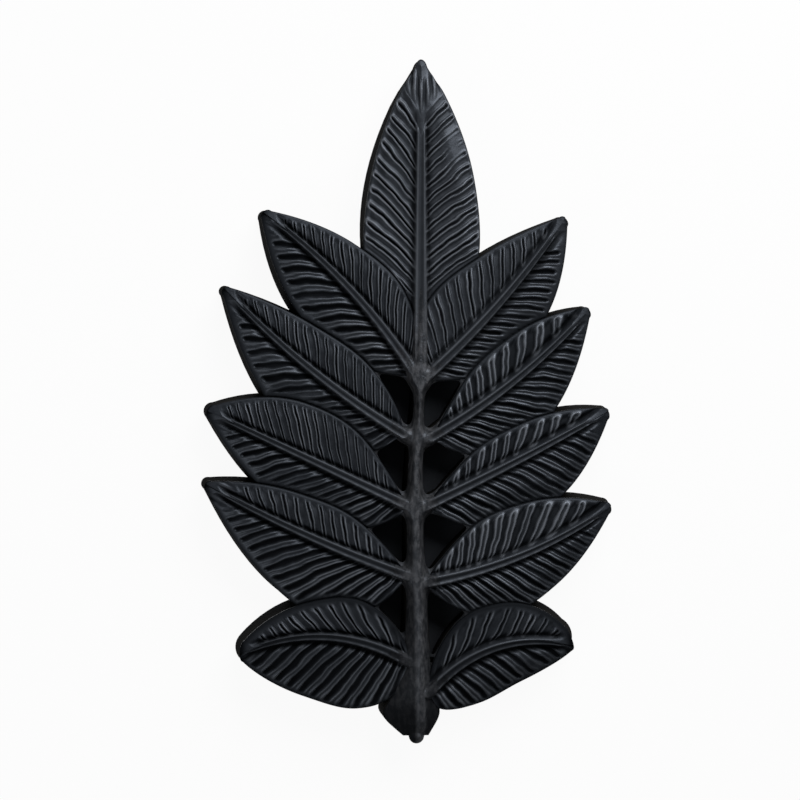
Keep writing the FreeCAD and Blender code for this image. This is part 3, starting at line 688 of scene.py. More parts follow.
@dataclass
class VeinRelief:
    """Geometry Nodes that raise a leaflet's midrib, veins and lips from its flat face, and store painted
    shade and painted highlight for its finish.

    Lengths are in millimetres. A pair named "luck" is a least value and what chance adds to it, and
    a pair named "run" or "range" is where a smooth rise starts and ends.
    """

    crown: float = 3.4
    crown_reach: float = 11.0
    ridge_rise: float = 5.4
    ridge_root: float = 2.9         # half width of the midrib at its root
    ridge_tip: float = 1.3
    trough_depth: float = 2.6
    edge_round: float = 1.1
    wobble: float = 0.4
    ridge_run: Pair = (0.8, 1.4)    # of the midrib's flank, in half widths
    taper: float = 0.42             # share of the midrib's height that is gone at its tip
    line_at: float = 0.78           # where its two lines run, in half widths
    line_width: float = 0.27
    line_rise: float = 0.5
    # painted highlight on the midrib's two lines
    line_painted_light: float = 0.62
    line_fade: float = 0.22         # by which their painted highlight is weaker at the tip
    dip_width: float = 0.5          # of the channel between them, in half widths
    dip_fall: float = 0.45
    # painted shade in the channel between the midrib's two lines
    dip_painted_shade: float = 0.5
    trough_at: float = 0.9
    # painted shade in the channel beside the midrib
    trough_painted_shade: float = 0.8
    puff_from: float = -1.0         # distance inside the edge where the land starts to rise
    fine_scale: float = 210.0       # of the noises
    broad_scale: float = 60.0
    broad_seed: float = 9.0
    fine_rise: float = 0.14
    broad_rise: float = 1.1
    tip_line_turn: float = 1.57     # radians a millimetre
    tip_line_noise: float = 0.7
    join: float = 0.5               # how softly midrib and land meet
    groove_shade_depth: float = 0.95     # grooves deeper than this get no more painted shade
    # painted shade in the valleys, along the edge and towards the tip
    valley_painted_shade: float = 0.5
    edge_painted_shade: float = 0.65
    tip_painted_shade: float = 0.3
    tip_run: Pair = (0.9, 0.99)
    # painted highlight on the thin ridges
    bead_painted_light: float = 1.3
    half_pitch: float = 3.7         # about half the distance between two veins
    fine_wobble: float = 0.15
    wobble_share: float = 2.0
    lip_luck: Pair = (0.75, 0.7)
    outer_gap: float = 1.4          # between the lip and a groove's outer end
    inner_gap: Pair = (1.3, 0.7)    # between midrib and groove, and what chance adds
    swell_run: Pair = (-1.0, 7.0)
    swell_share: float = 0.35       # by which a groove is wider in its middle
    wide_luck: Pair = (0.65, 0.3)
    groove_run: Pair = (0.4, 1.35)
    groove_luck: Pair = (0.8, 0.3)
    bead_shift: float = 0.08
    bead_wide_luck: Pair = (0.7, 0.65)
    bead_luck: Pair = (0.6, 0.6)
    loop_share: float = 6.0
    loop_run: Pair = (0.0, 4.5)
    valley_run: Pair = (0.08, 0.45)     # beyond the thin ridge
    valley_outer: Pair = (-1.5, 1.0)
    valley_inner: Pair = (-1.5, 0.5)

    INPUTS = ("Crown", "Crown Reach", "Ridge Rise", "Ridge Root", "Ridge Tip",
              "Trough Depth", "Edge Round", "Wobble")

    def tree(self, finish: bpy.types.Material) -> bpy.types.NodeTree:
        """Write the tree.

        Args:
            finish: the material of the finished face.

        Returns:
            The geometry node tree.
        """
        kinds = {**dict.fromkeys(self.INPUTS, "Float"), "Seed": "Int"}
        tree, nodes, given = new_tree("vein_relief", kinds)
        size = {name: nodes.field(given, name) for name in self.INPUTS}
        seed = nodes.field(given, "Seed")
        read, least, most = nodes.attribute, "MINIMUM", "MAXIMUM"
        mid, rim, along = read("mid"), read("rim"), read("along")
        face, there, gloom = read("face"), read("ridge"), read("gloom")
        place = nodes.node("GeometryNodeInputPosition").outputs[0]
        fine = nodes.noise(place, self.fine_scale, detail=2.0, seed=seed) - 0.5
        broad = nodes.noise(place, self.broad_scale, detail=2.0, seed=seed + self.broad_seed) - 0.5

        shelf = read("shelf")
        half = size["Ridge Root"] + (size["Ridge Tip"] - size["Ridge Root"]) * along
        across = mid / half
        lines = self.bump(nodes, across, self.line_at, self.line_width)
        dip = self.bump(nodes, across, 0.0, self.dip_width)
        start, end = self.ridge_run
        ridge = ((1.0 - nodes.smooth(mid, half * start, half * end + shelf)) * (1.0 - along * self.taper)
                 * there * size["Ridge Rise"] + (lines * self.line_rise - dip * self.dip_fall) * there)
        flank = mid - half - shelf
        trough = self.bump(nodes, flank, self.trough_at, read("trough")) * there

        edge_height = read("edge_height")
        puffed = nodes.smooth(rim, self.puff_from, size["Crown Reach"])
        land = (edge_height + (size["Crown"] - edge_height) * puffed
                + broad * self.broad_rise * puffed)
        groove, bead, valley = self.veins(nodes, flank, rim, fine, broad, seed, size["Wobble"])
        below = 1.0 - nodes.clamp(rim / size["Edge Round"])
        rounded = (1.0 - (nodes.clamp(1.0 - below * below) ** 0.5)) * size["Edge Round"]
        waves = nodes.math("COSINE", (mid + fine * self.tip_line_noise) * self.tip_line_turn)
        waves = waves * read("tip_lines")
        depth = read("depth")
        carved = land + bead - valley - groove * depth - trough * size["Trough Depth"] + waves
        height = nodes.math("SMOOTH_MAX", carved, ridge, self.join) - rounded + fine * self.fine_rise
        # painted shade: darker in grooves, troughs, valleys, between the midrib's lines, along the edge,
        # towards the tip, in the tip lines' hollows and over leaflets where the light falls off
        painted_shade = nodes.clamp(groove * nodes.math(least, depth, self.groove_shade_depth)
                           + trough * self.trough_painted_shade + valley * self.valley_painted_shade
                           + dip * there * self.dip_painted_shade
                           + (1.0 - nodes.smooth(rim, 0.0, read("dark_edge"))) * self.edge_painted_shade
                           + gloom + nodes.smooth(along, *self.tip_run) * self.tip_painted_shade
                           - nodes.math(least, waves, 0.0))
        # painted highlight on the thin ridges, the midrib's lines and the tip lines' crests, and over
        # leaflets that are lit more
        painted_highlight = nodes.clamp(bead * self.bead_painted_light
                             + lines * there * (self.line_painted_light - along * self.line_fade)
                             + nodes.math(most, waves, 0.0) - nodes.math(least, gloom, 0.0))

        # groove keeps the painted shade and crest the painted highlight
        stored = given
        for name, value in (("groove", painted_shade), ("crest", painted_highlight)):
            stored = nodes.node("GeometryNodeStoreNamedAttribute", {
                "Geometry": stored.outputs[0], "Name": name, "Value": value * face},
                data_type="FLOAT", domain="POINT")
        lift = nodes.node("ShaderNodeCombineXYZ", {"Z": height * face * MM})
        moved = nodes.node("GeometryNodeSetPosition", {
            "Geometry": stored.outputs[0], "Offset": lift.outputs[0]})
        smooth = nodes.node("GeometryNodeSetShadeSmooth", {"Geometry": moved.outputs[0]})
        nodes.give(smooth, finish)
        return tree

    @staticmethod
    def bump(nodes: Nodes, value: Field, centre: Any, width: Any) -> Field:
        """Fall from 1 where the value is at the centre to 0 on both sides."""
        return nodes.math("EXPONENT", -(((value - centre) / width) * ((value - centre) / width)))

    def veins(self, nodes: Nodes, flank: Field, rim: Field, fine: Field, broad: Field,
              seed: Field, wobble: Field) -> tuple[Field, Field, Field]:
        """Add the grooves, the thin ridge round each and the valleys between.

        Args:
            nodes: the writer.
            flank: distance outside the midrib.
            rim: distance inside the outline.
            fine: fine noise.
            broad: broad noise.
            seed: seed of the irregularities.
            wobble: how unevenly the grooves run.

        Returns:
            Depth share of the grooves, height of the ridges and depth of the valleys.
        """
        read, smooth, least, most = nodes.attribute, nodes.smooth, "MINIMUM", "MAXIMUM"
        wavy = read("vein") + (fine * self.fine_wobble + broad) * wobble * self.wobble_share
        chance = nodes.node("FunctionNodeRandomValue", {
            "ID": nodes.math("FLOOR", wavy + 0.5), "Seed": seed}, data_type="FLOAT")
        luck = nodes.field(chance, 1)
        phase = nodes.math("FRACT", wavy)
        near = nodes.math(least, phase, 1.0 - phase) * 2.0
        outer = rim - read("lip") * self.by_luck(luck, self.lip_luck) - self.outer_gap
        inner = flank - self.by_luck(luck, self.inner_gap)
        over = nodes.math(most, 0.0 - outer, 0.0) + nodes.math(most, 0.0 - inner, 0.0)
        over = over / self.half_pitch
        away = (near * near + over * over) ** 0.5
        veined = read("veined")
        swell = smooth(nodes.math(least, outer, inner), *self.swell_run) * self.swell_share
        wide = read("groove_share") * (self.by_luck(luck, self.wide_luck) + swell)
        groove = (1.0 - smooth(away / wide, *self.groove_run)) * veined
        groove = groove * self.by_luck(luck, self.groove_luck)
        bead_at = read("bead_at") + (luck - 0.5) * self.bead_shift
        bead_width = read("bead_width") * self.by_luck(luck, self.bead_wide_luck)
        rise = read("bead") * veined * self.by_luck(luck, self.bead_luck)
        loop = smooth(outer + read("loop") * self.loop_share, *self.loop_run)
        bead = self.bump(nodes, away, bead_at, bead_width) * (rise * loop)
        start, end = self.valley_run
        valley = smooth(near, bead_at + start, bead_at + end) * (
            read("valley") * veined * smooth(outer, *self.valley_outer)
            * smooth(inner, *self.valley_inner))
        return groove, bead, valley

    @staticmethod
    def by_luck(luck: Field, share: Pair) -> Field:
        """Take a least value, and a part of what chance adds to it."""
        return share[0] + luck * share[1]

    def apply(self, obj: bpy.types.Object, tree: bpy.types.NodeTree, leaflet: Leaflet) -> None:
        """Run the tree on a leaflet's flat face.

        Args:
            obj: the flat face.
            tree: the tree made by this class.
            leaflet: the leaflet.
        """
        sizes = (self.crown, self.crown_reach, self.ridge_rise, self.ridge_root * leaflet.rib,
                 self.ridge_tip * leaflet.rib, self.trough_depth, self.edge_round, self.wobble)
        grow(obj, tree, {**dict(zip(self.INPUTS, sizes)), "Seed": leaflet.seed})


def grow(obj: bpy.types.Object, tree: bpy.types.NodeTree, inputs: dict[str, Any]) -> None:
    """Run a geometry tree on an object and keep the result as its plain mesh.

    Args:
        obj: the object.
        tree: the geometry tree.
        inputs: a value for each of the tree's named inputs.
    """
    modifier = obj.modifiers.new("grow", "NODES")
    modifier.node_group = tree
    for item in tree.interface.items_tree:
        if item.item_type == "SOCKET" and item.in_out == "INPUT" and item.name in inputs:
            modifier[item.identifier] = inputs[item.name]
    graph = bpy.context.evaluated_depsgraph_get()
    mesh = bpy.data.meshes.new_from_object(obj.evaluated_get(graph), depsgraph=graph)
    obj.modifiers.remove(modifier)
    obj.data = mesh
    mesh.name = obj.name


def new_object(name: str, points: Iterable[Any], faces: Iterable[Any],
               finish: Optional[bpy.types.Material] = None) -> bpy.types.Object:
    """Make an object from points in metres.

    Args:
        name: the piece's name.
        points: its vertices.
        faces: its faces as lists of vertex numbers.
        finish: its material, if it is known already.

    Returns:
        The object, linked to the scene.
    """
    mesh = bpy.data.meshes.new(name)
    mesh.from_pydata([tuple(p) for p in points], [], [tuple(f) for f in faces])
    mesh.update()
    obj = bpy.data.objects.new(name, mesh)
    bpy.context.scene.collection.objects.link(obj)
    if finish:
        mesh.materials.append(finish)
    return obj


def strip(first: list[int], second: list[int]) -> list[tuple[int, ...]]:
    """Four-sided faces between two rows of points, given as the points' numbers."""
    return list(zip(first, first[1:], second[1:], second))


def store(obj: bpy.types.Object, values: dict[str, np.ndarray]) -> None:
    """Write float attributes on an object's points.

    Args:
        obj: the object.
        values: one value for each point, by the attribute's name.
    """
    for name, value in values.items():
        made = obj.data.attributes.new(name, "FLOAT", "POINT")
        made.data.foreach_set("value", value.astype(np.float32))


def shade(obj: bpy.types.Object, sharp: float) -> None:
    """Shade an object smooth, apart from edges sharper than so many degrees."""
    obj.data.shade_smooth()
    obj.data.set_sharp_from_angle(angle=math.radians(sharp))


@dataclass
class VeinedLeaf:
    """The eleven veined leaflets that make the working face, in millimetres."""

    outline: Outline
    face_height: float = 24.0
    tuck: float = 0.6           # by which a face lies lower where another leaflet covers it
    floor: float = 21.9
    wall_top: float = 22.4
    sink: float = 0.4           # by which the underside stands in
    columns: int = 30           # on each side of the midrib
    crowding: float = 0.11      # how much closer the columns stand at midrib and edge
    spoke_gap: float = 0.3
    spoke_share: float = 0.85
    line_steps: int = 160       # of outline and midrib, for measuring distances
    edge_steps: int = 500       # of the edge, for finding where the veins meet it
    fan: float = 0.3            # share of the midrib over which the first veins fan out
    gather: Pair = (0.97, 0.03) # where on the midrib the veins turn to the tip, and over what share
    bend_fade: float = 0.15     # share of the midrib over which the veins' bend fades out
    grow_run: float = 0.35      # share over which lip and shelf reach their width
    grow_from: float = 0.3
    root_run: float = 0.4       # share over which the thin ridges are higher
    veins_run: Pair = (0.03, 0.05)  # shares over which the veins fade in and out
    ridge_fade: float = 0.06
    tip_lines_in: float = 0.04
    tip_lines_out: Pair = (0.93, 0.03)  # share where the tip's lines end, and their fading
    patch_stretch: float = 0.55
    relief: VeinRelief = field(default_factory=VeinRelief)

    def spokes(self, leaflet: Leaflet, side: Side, t: np.ndarray) -> np.ndarray:
        """Where each vein line meets the flap's edge.

        Args:
            leaflet: the leaflet.
            side: which flap.
            t: where the lines start, as shares of the midrib.

        Returns:
            One edge point a row.
        """
        flap = leaflet.flap(side)
        root, _, along, across = self.outline.axes(leaflet)
        every = np.linspace(0, 1, self.edge_steps)
        edge = self.outline.edge(leaflet, side, every) - root
        feet = self.outline.midrib(leaflet, t) - root
        straight = np.zeros(len(t))
        for i, (share, foot) in enumerate(zip(t, feet)):
            angle = flap.vein_angle * (1 + flap.steepen * (0.5 - share))
            lean = side.value / math.tan(math.radians(angle))
            reached = edge @ along - (edge @ across) * lean
            straight[i] = np.interp(foot @ along - (foot @ across) * lean,
                                    np.maximum.accumulate(reached), every)
        fan = straight[0] * ramp(1 - t / self.fan) ** 2
        u = np.maximum.accumulate(ramp(straight - fan))
        start, run = self.gather
        u = u + (t - u) * ramp(t - start, run)
        return self.outline.edge(leaflet, side, u)

    def build(self, leaflet: Leaflet, over: list[Leaflet], tree: bpy.types.NodeTree) -> bpy.types.Object:
        """Make one veined leaflet.

        Args:
            leaflet: the leaflet.
            over: the leaflets that overlap it.
            tree: the relief's geometry tree.

        Returns:
            The finished piece.
        """
        rows = int(self.outline.axes(leaflet)[1] * self.spoke_share / self.spoke_gap)
        t = np.linspace(0, 1, rows)
        feet = self.outline.midrib(leaflet, t)
        calm = ramp(np.minimum(t, 1 - t), self.bend_fade)[:, None]
        even = np.linspace(0, 1, self.columns + 1)[1:]
        radial = even - self.crowding * np.sin(2 * math.pi * even)
        grid = np.zeros((rows, 2 * self.columns + 1, 2))
        vein = np.zeros(grid.shape[:2])
        grid[:, self.columns] = feet
        for side in Side:
            flap = leaflet.flap(side)
            line = self.spokes(leaflet, side, t) - feet
            turned = np.stack([-line[:, 1], line[:, 0]], 1) * flap.curl
            sign = np.sign((turned * (feet[-1] - feet[0])).sum(1))[:, None]
            for j, r in enumerate(radial, start=1):
                bend = turned * sign * 4 * r * (1 - r) * calm
                grid[:, self.columns + side.value * j] = feet + line * r + bend
            step = np.diff(grid[:, self.columns + side.value * (self.columns // 2)], axis=0)
            unit = line / np.maximum(np.hypot(*line.T), NEAR_ZERO)[:, None]
            across = np.abs(step[:, 0] * unit[1:, 1] - step[:, 1] * unit[1:, 0])
            run = np.concatenate([[0], np.cumsum(across)])
            first, last = np.interp([leaflet.veins_from, flap.veins_to], t, run)
            share = (run - first) / (last - first)
            phase = (share + flap.crowd * share * (1 - ramp(share))) * flap.veins
            half = slice(self.columns, None) if side is Side.UPPER else slice(self.columns)
            vein[:, half] = phase[:, None]
        return self.assemble(leaflet, over, tree, t, grid, vein)

    def assemble(self, leaflet: Leaflet, over: list[Leaflet], tree: bpy.types.NodeTree,
                 t: np.ndarray, grid: np.ndarray, vein: np.ndarray) -> bpy.types.Object:
        """Close the face with walls and an underside, store what the relief reads, and grow it.

        Args:
            leaflet: the leaflet.
            over: the leaflets that overlap it.
            tree: the relief's geometry tree.
            t: shares of the midrib, one a row of the grid.
            grid: face points, rows along the midrib and columns across it.
            vein: vein count at each point.

        Returns:
            The finished piece.
        """
        rows, wide, _ = grid.shape
        flat = grid.reshape(-1, 2)
        rim, hidden = self.rim(leaflet, over, flat)
        values = {**self.character(leaflet, flat, t), "rim": rim, "vein": vein.reshape(-1)}
        points = [np.column_stack([flat, self.face_height - self.tuck * hidden])]
        number = np.arange(rows * wide).reshape(rows, wide).tolist()
        faces = [quad for first, second in zip(number, number[1:]) for quad in strip(first, second)]
        middle = grid[:, self.columns]
        for depth, inset in ((self.wall_top, 0.0), (self.floor, self.sink)):
            for line in (grid[:, 0], grid[:, -1]):
                inward = middle - line
                inward = inward / np.maximum(np.hypot(*inward.T), NEAR_ZERO)[:, None]
                points.append(np.column_stack([line + inward * inset, np.full(rows, depth)]))
        points.append(np.column_stack([middle, np.full(rows, self.floor)]))
        below = (len(flat) + np.arange(5 * rows)).reshape(5, rows).tolist()
        low, high = [row[0] for row in number], [row[-1] for row in number]
        low_1, high_1, low_2, high_2, spine = below
        pairs = ((low, low_1), (low_1, low_2), (high_1, high), (high_2, high_1), (low_2, spine),
                 (spine, high_2))
        for quads in zip(*(strip(first, second) for first, second in pairs)):
            faces += quads
        for row in (0, -1):
            faces.append((*number[row], *(line[row] for line in (high_1, high_2, spine, low_2, low_1))))
        every = np.vstack(points)
        if leaflet.point:
            every = self.outline.pointed(leaflet, every)
        obj = new_object(leaflet.name, every * MM, faces)
        rest = np.zeros(len(every) - len(flat))
        store(obj, {name: np.append(value, rest) for name, value in values.items()})
        close(obj)
        self.relief.apply(obj, tree, leaflet)
        # groove and crest hold the painted shade and painted highlight that the finish reads
        keep_attributes(obj, {"groove", "crest"})
        return obj

    def rim(self, leaflet: Leaflet, over: list[Leaflet],
            points: np.ndarray) -> tuple[np.ndarray, np.ndarray]:
        """How far each point lies inside what can be seen of a leaflet.

        Args:
            leaflet: the leaflet.
            over: the leaflets that overlap it.
            points: one point a row.

        Returns:
            The distance, and True for each point that is covered.
        """
        u = np.linspace(0, 1, self.line_steps)
        rim = distance_to_line(points, self.outline.polygon(leaflet, self.line_steps))
        hidden = np.zeros(len(points), bool)
        for other in over:
            inside = is_inside(points, self.outline.polygon(other))
            hidden |= inside
            gap = distance_to_line(points, self.outline.edge(other, Side.UPPER, u))
            rim = np.where(inside, 0.0, np.minimum(rim, gap))
        return rim, hidden

    def character(self, leaflet: Leaflet, points: np.ndarray, t: np.ndarray) -> dict[str, np.ndarray]:
        """What the relief reads at each point of the face.

        Args:
            leaflet: the leaflet.
            points: the face's points, one a row.
            t: shares of the midrib, one a row of the face's grid.

        Returns:
            The values by their attributes' names.
        """
        wide = len(points) // len(t)
        share = np.repeat(t, wide)
        is_upper = np.tile(np.arange(wide) > self.columns, len(t))
        plain = ("lip", "depth", "groove_share", "edge_height", "bead", "bead_at", "bead_width",
                 "shelf", "loop", "dark_edge", "valley", "trough", "veins_to", "root_bead")
        found = {name: np.where(is_upper, getattr(leaflet.upper, name), getattr(leaflet.lower, name))
                 for name in plain}
        last, higher = found.pop("veins_to"), found.pop("root_bead")
        fade_in, fade_out = self.veins_run
        veined = ramp(last - share, fade_out) * ramp(share, fade_in)
        if leaflet.patch:
            at, offset, radius = leaflet.patch
            root, length, along, across = self.outline.axes(leaflet)
            spot = points - (root + along * length * at + across * offset)
            off = np.hypot(spot @ across, spot @ along * self.patch_stretch)
            veined = veined * (1 - np.exp(-(off / radius) ** 4))
        grown = self.grow_from + (1 - self.grow_from) * ramp(share, self.grow_run)
        middle = self.outline.midrib(leaflet, np.linspace(0, 1, self.line_steps))
        same = np.ones(len(points))
        end, fade_out = self.tip_lines_out
        tip_lines = ramp(share - last, self.tip_lines_in) * ramp(end - share, fade_out)
        return {
            **found, "lip": found["lip"] * grown, "shelf": found["shelf"] * grown,
            "bead": found["bead"] * (1 + higher * (1 - ramp(share, self.root_run))),
            "mid": distance_to_line(points, middle), "along": share, "veined": veined, "face": same,
            "tip_lines": leaflet.tip_lines * tip_lines, "gloom": leaflet.gloom * same,
            "ridge": ramp(np.minimum(leaflet.ridge_end - share, share), self.ridge_fade),
        }

    def make(self, finish: bpy.types.Material) -> list[bpy.types.Object]:
        """Make every leaflet.

        Args:
            finish: the face's material.

        Returns:
            The finished pieces.
        """
        tree = self.relief.tree(finish)
        made = [self.build(TERMINAL, [LEFT_LEAFLETS[0], RIGHT_LEAFLETS[0]], tree)]
        for row in (LEFT_LEAFLETS, RIGHT_LEAFLETS):
            for i, leaflet in enumerate(row):
                made.append(self.build(leaflet, list(row[i + 1:i + 2]), tree))
        return made


def close(obj: bpy.types.Object, gap: float = 0.00001) -> None:
    """Merge points that coincide, drop what that flattens and turn the faces outwards.

    Args:
        obj: the object.
        gap: how near two points are merged, in metres.
    """
    work = bmesh.new()
    work.from_mesh(obj.data)
    bmesh.ops.remove_doubles(work, verts=work.verts, dist=gap)
    bmesh.ops.dissolve_degenerate(work, dist=gap / 10, edges=work.edges)
    bmesh.ops.recalc_face_normals(work, faces=work.faces)
    work.to_mesh(obj.data)
    work.free()


def keep_attributes(obj: bpy.types.Object, keep: set[str]) -> None:
    """Remove a mesh's working attributes.

    Args:
        obj: the object.
        keep: the names to leave.
    """
    names = [a.name for a in obj.data.attributes
             if a.data_type == "FLOAT" and a.domain == "POINT" and a.name not in keep]
    for name in names:
        obj.data.attributes.remove(obj.data.attributes[name])


# ---------------------------------------------------------------- walls under the face

@dataclass
class LeafWalls:
    """The moulding's drafted walls, rim and bosses, below the veined face."""

    slit: Pair = (-0.531, 0.2413)   # seam between the two top left leaflets
    plug: Pair = (1.0, 2.6)         # half sizes of what closes it, mm
    keep_below: float = 21.8
    plug_from: float = 0.4
    squash_to: float = 22.35
    top: float = 31.0

    def make(self, outline: Outline, finish: bpy.types.Material) -> bpy.types.Object:
        """Copy the moulding, press its face down under the leaflets and close its open seam.

        Args:
            outline: the leaf's outline.
            finish: the walls' material.

        Returns:
            The finished piece.
        """
        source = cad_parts["leaf_shell"]
        mesh = source.data.copy()
        mesh.name = "leaf_walls"
        obj = bpy.data.objects.new("leaf_walls", mesh)
        bpy.context.scene.collection.objects.link(obj)
        share = (self.squash_to - self.keep_below) / (self.top - self.keep_below)
        places = outline.pointed(TERMINAL, np.array([v.co for v in mesh.vertices]) / MM)
        over = np.maximum(places[:, 2] - self.keep_below, 0)
        places[:, 2] -= over * (1 - share)
        mesh.vertices.foreach_set("co", (places * MM).ravel())
        work = bmesh.new()
        work.from_mesh(mesh)
        bmesh.ops.remove_doubles(work, verts=work.verts, dist=WELD)
        x, y = outline.place(self.slit)
        depth = self.keep_below - self.plug_from
        size = Matrix.Diagonal((2 * self.plug[0] * MM, 2 * self.plug[1] * MM, depth * MM, 1.0))
        middle = Vector((x, y, self.plug_from + depth / 2)) * MM
        bmesh.ops.create_cube(work, size=1.0, matrix=Matrix.Translation(middle) @ size)
        work.to_mesh(mesh)
        work.free()
        mesh.materials.clear()
        mesh.materials.append(finish)
        mesh.shade_flat()
        return obj


# ---------------------------------------------------------------- stem

def blend_fields(fields: list[np.ndarray], reach: np.ndarray) -> np.ndarray:
    """Join shapes given as distances, with a fillet where they meet.

    Args:
        fields: the distance to each shape, below zero inside it.
        reach: size of the fillet at each point.

    Returns:
        The distance to the joined shape.
    """
    stack = np.stack(fields)
    least = stack.min(0)
    return least - reach * np.log(np.exp(-(stack - least) / reach).sum(0))


@dataclass
class StemWeb:
    """The stem, flaring into every midrib, with the rounded rims of the openings beside it, in mm."""

    outline: Outline
    relief: VeinRelief = field(default_factory=VeinRelief)
    face_height: float = 24.0
    cell: float = 0.6           # of the grid
    snap: float = 0.55          # grid points this many cells from the edge are moved onto it
    least_slope: float = 0.2
    across: Pair = (-36.0, 42.0)    # between which the grid lies
    margin: float = 0.4         # of the grid below the leaf
    fillet: float = 2.6
    end_fillet: float = 0.5
    leaf_fillet: float = 0.75   # share of the fillet that is left beside a leaflet
    fillet_until: float = -150.0
    level: float = 23.4
    floor: float = 19.5
    crest: float = 30.7
    rib: float = 27.7
    rim_round: float = 1.3
    under: float = 2.5
    verge: float = 0.6          # how far the piece reaches beyond stem and midribs
    shoulder: float = 3.3
    shoulder_share: float = 0.85    # of the half width, where the stem is wide
    near_reach: float = 5.0     # how far beyond its side the stem's height is felt
    near_least: float = 0.4
    end_run: float = 26.0       # length over which the stem rises from its end
    end_rise: float = 0.45
    widening: Pair = (3.6, 3.0)     # half width of a plain stem, and by how much its flat end is wider
    brow: Pair = (3.2, 1.1)     # half width of the flat end's highest part, and its height
    furrow_depth: float = 0.55
    # Furrows along the flat end: place across it, width and share of the depth.
    furrows: tuple[Triple, ...] = ((3.1, 0.6, 1.0), (-2.6, 0.6, 1.0), (-4.9, 0.7, 0.7))
    join: float = 0.6           # how softly stem and midribs meet
    rib_least: float = 0.2      # midribs lower than this above the face are left out
    branch_length: float = 24.0
    branch_half: float = 2.4
    branch_flare: Pair = (1.9, 7.0)     # by how much a midrib widens at the stem, and how fast
    rib_reach: float = 1.2      # midribs' shape goes on for this many branch lengths
    rib_steps: int = 70
    polygon_steps: int = 70
    branch_steps: int = 16
    line_run: float = 6.0       # length over which a midrib's two lines appear
    top_line_run: float = 15.0
    lift: float = 0.1           # above the leaflets' own midribs
    sunk: float = 0.3           # by which the piece dips under them at its ends
    top_run: float = 60.0
    crest_run: float = 40.0     # length over which the stem falls to the midribs' height above
    web_top: float = 0.14       # where the web ends and only the stem goes on, as a share of length
    crest_line: float = 6.4     # where the highest line of the stem's flat end runs
    end_dark: Triple = (-168.0, 22.0, 0.45)     # where its darker part starts, its length and share
    joint_reach: float = 3.0    # how far from a midrib's root the stem is kept free of the painted flank shade
    flank_at: Pair = (1.6, 2.6)     # distance from the crest line where the painted shade on the flank starts, width
    flank_painted_shade: Pair = (0.25, 0.4)  # its share, and what the flat end adds
    flank_top: float = 10.0
    leave_at: Pair = (1.0, 9.0)     # beyond the stem's side, where a midrib starts to darken, width
    leave_dark: float = 0.35
    leave_top: float = 50.0
    most_dark: float = 0.9
    end_painted_light_cut: float = 0.5       # share of the lines' painted highlight that is gone on the flat end
    nub: Triple = (4.25, -195.4, 4.4)   # middle and radius of the round end
    # The stem's shape: share of half the length, middle and half width.
    stations: tuple[Triple, ...] = (
        (0.5, 6.5, 3.3), (0.3, 6.4, 3.6), (0.18, 6.2, 3.9), (0.12, 6.0, 3.6), (0.0, 5.7, 2.8),
        (-0.2, 3.6, 4.2), (-0.4, 3.5, 4.8), (-0.6, 4.4, 6.0), (-0.75, 4.2, 7.8),
        (-0.86, 2.6, 12.6), (-0.91, 1.2, 16.0), (-0.95, 2.4, 11.6), (-0.975, 3.8, 7.2))

    def stem_line(self, y: np.ndarray) -> tuple[np.ndarray, np.ndarray]:
        """The stem's middle and half width.

        Args:
            y: places along the leaf.

        Returns:
            Centre and half width at each place.
        """
        known = np.array(self.stations)[::-1]
        share = (y - self.outline.shift[1]) / self.outline.half_length
        share = np.clip(share, known[0, 0], known[-1, 0])
        centre = smooth_through(known[:, 0], known[:, 1], share) + self.outline.shift[0]
        return centre, smooth_through(known[:, 0], known[:, 2], share)

    def flatness(self, half: np.ndarray) -> np.ndarray:
        """How far the stem has widened into its flat end, from its half width."""
        plain, more = self.widening
        return ramp(half - plain, more)

    def above_web(self, points: np.ndarray) -> np.ndarray:
        """How far above the web's top each point lies."""
        return points[:, 1] - self.web_top * self.outline.half_length

    def stem_field(self, points: np.ndarray) -> np.ndarray:
        """Distance to the stem, below zero inside.

        Args:
            points: one point a row.

        Returns:
            One distance for each point.
        """
        centre, half = self.stem_line(points[:, 1])
        low = self.stations[-1][0] * self.outline.half_length - points[:, 1]
        high = points[:, 1] - self.stations[0][0] * self.outline.half_length
        body = np.maximum(np.abs(points[:, 0] - centre) - half, np.maximum(low, high))
        x, y, radius = self.nub
        knob = np.hypot(points[:, 0] - x, points[:, 1] - y) - radius
        return np.minimum(body, knob)

    def branch_field(self, leaflet: Leaflet, points: np.ndarray) -> np.ndarray:
        """Distance to the root of a midrib, which widens towards the stem.

        Args:
            leaflet: the leaflet.
            points: one point a row.

        Returns:
            One distance for each point.
        """
        _, length, _, _ = self.outline.axes(leaflet)
        steps = np.linspace(-1.0, self.branch_length, self.branch_steps)
        line = self.outline.midrib(leaflet, steps / length)
        best = np.full(len(points), np.inf)
        flare, run = self.branch_flare
        for step, place in zip(steps, line):
            half = self.branch_half + flare * math.exp(-max(step, 0.0) / run)
            best = np.minimum(best, np.hypot(*(points - place).T) - half)
        return best

    def leaflet_field(self, leaflet: Leaflet, points: np.ndarray) -> np.ndarray:
        """Distance to a leaflet's outline, below zero inside.

        Args:
            leaflet: the leaflet.
            points: one point a row.

        Returns:
            One distance for each point.
        """
        polygon = self.outline.polygon(leaflet, self.polygon_steps)
        gap = distance_to_line(points, np.vstack([polygon, polygon[:1]]))
        return np.where(is_inside(points, polygon), -gap, gap)

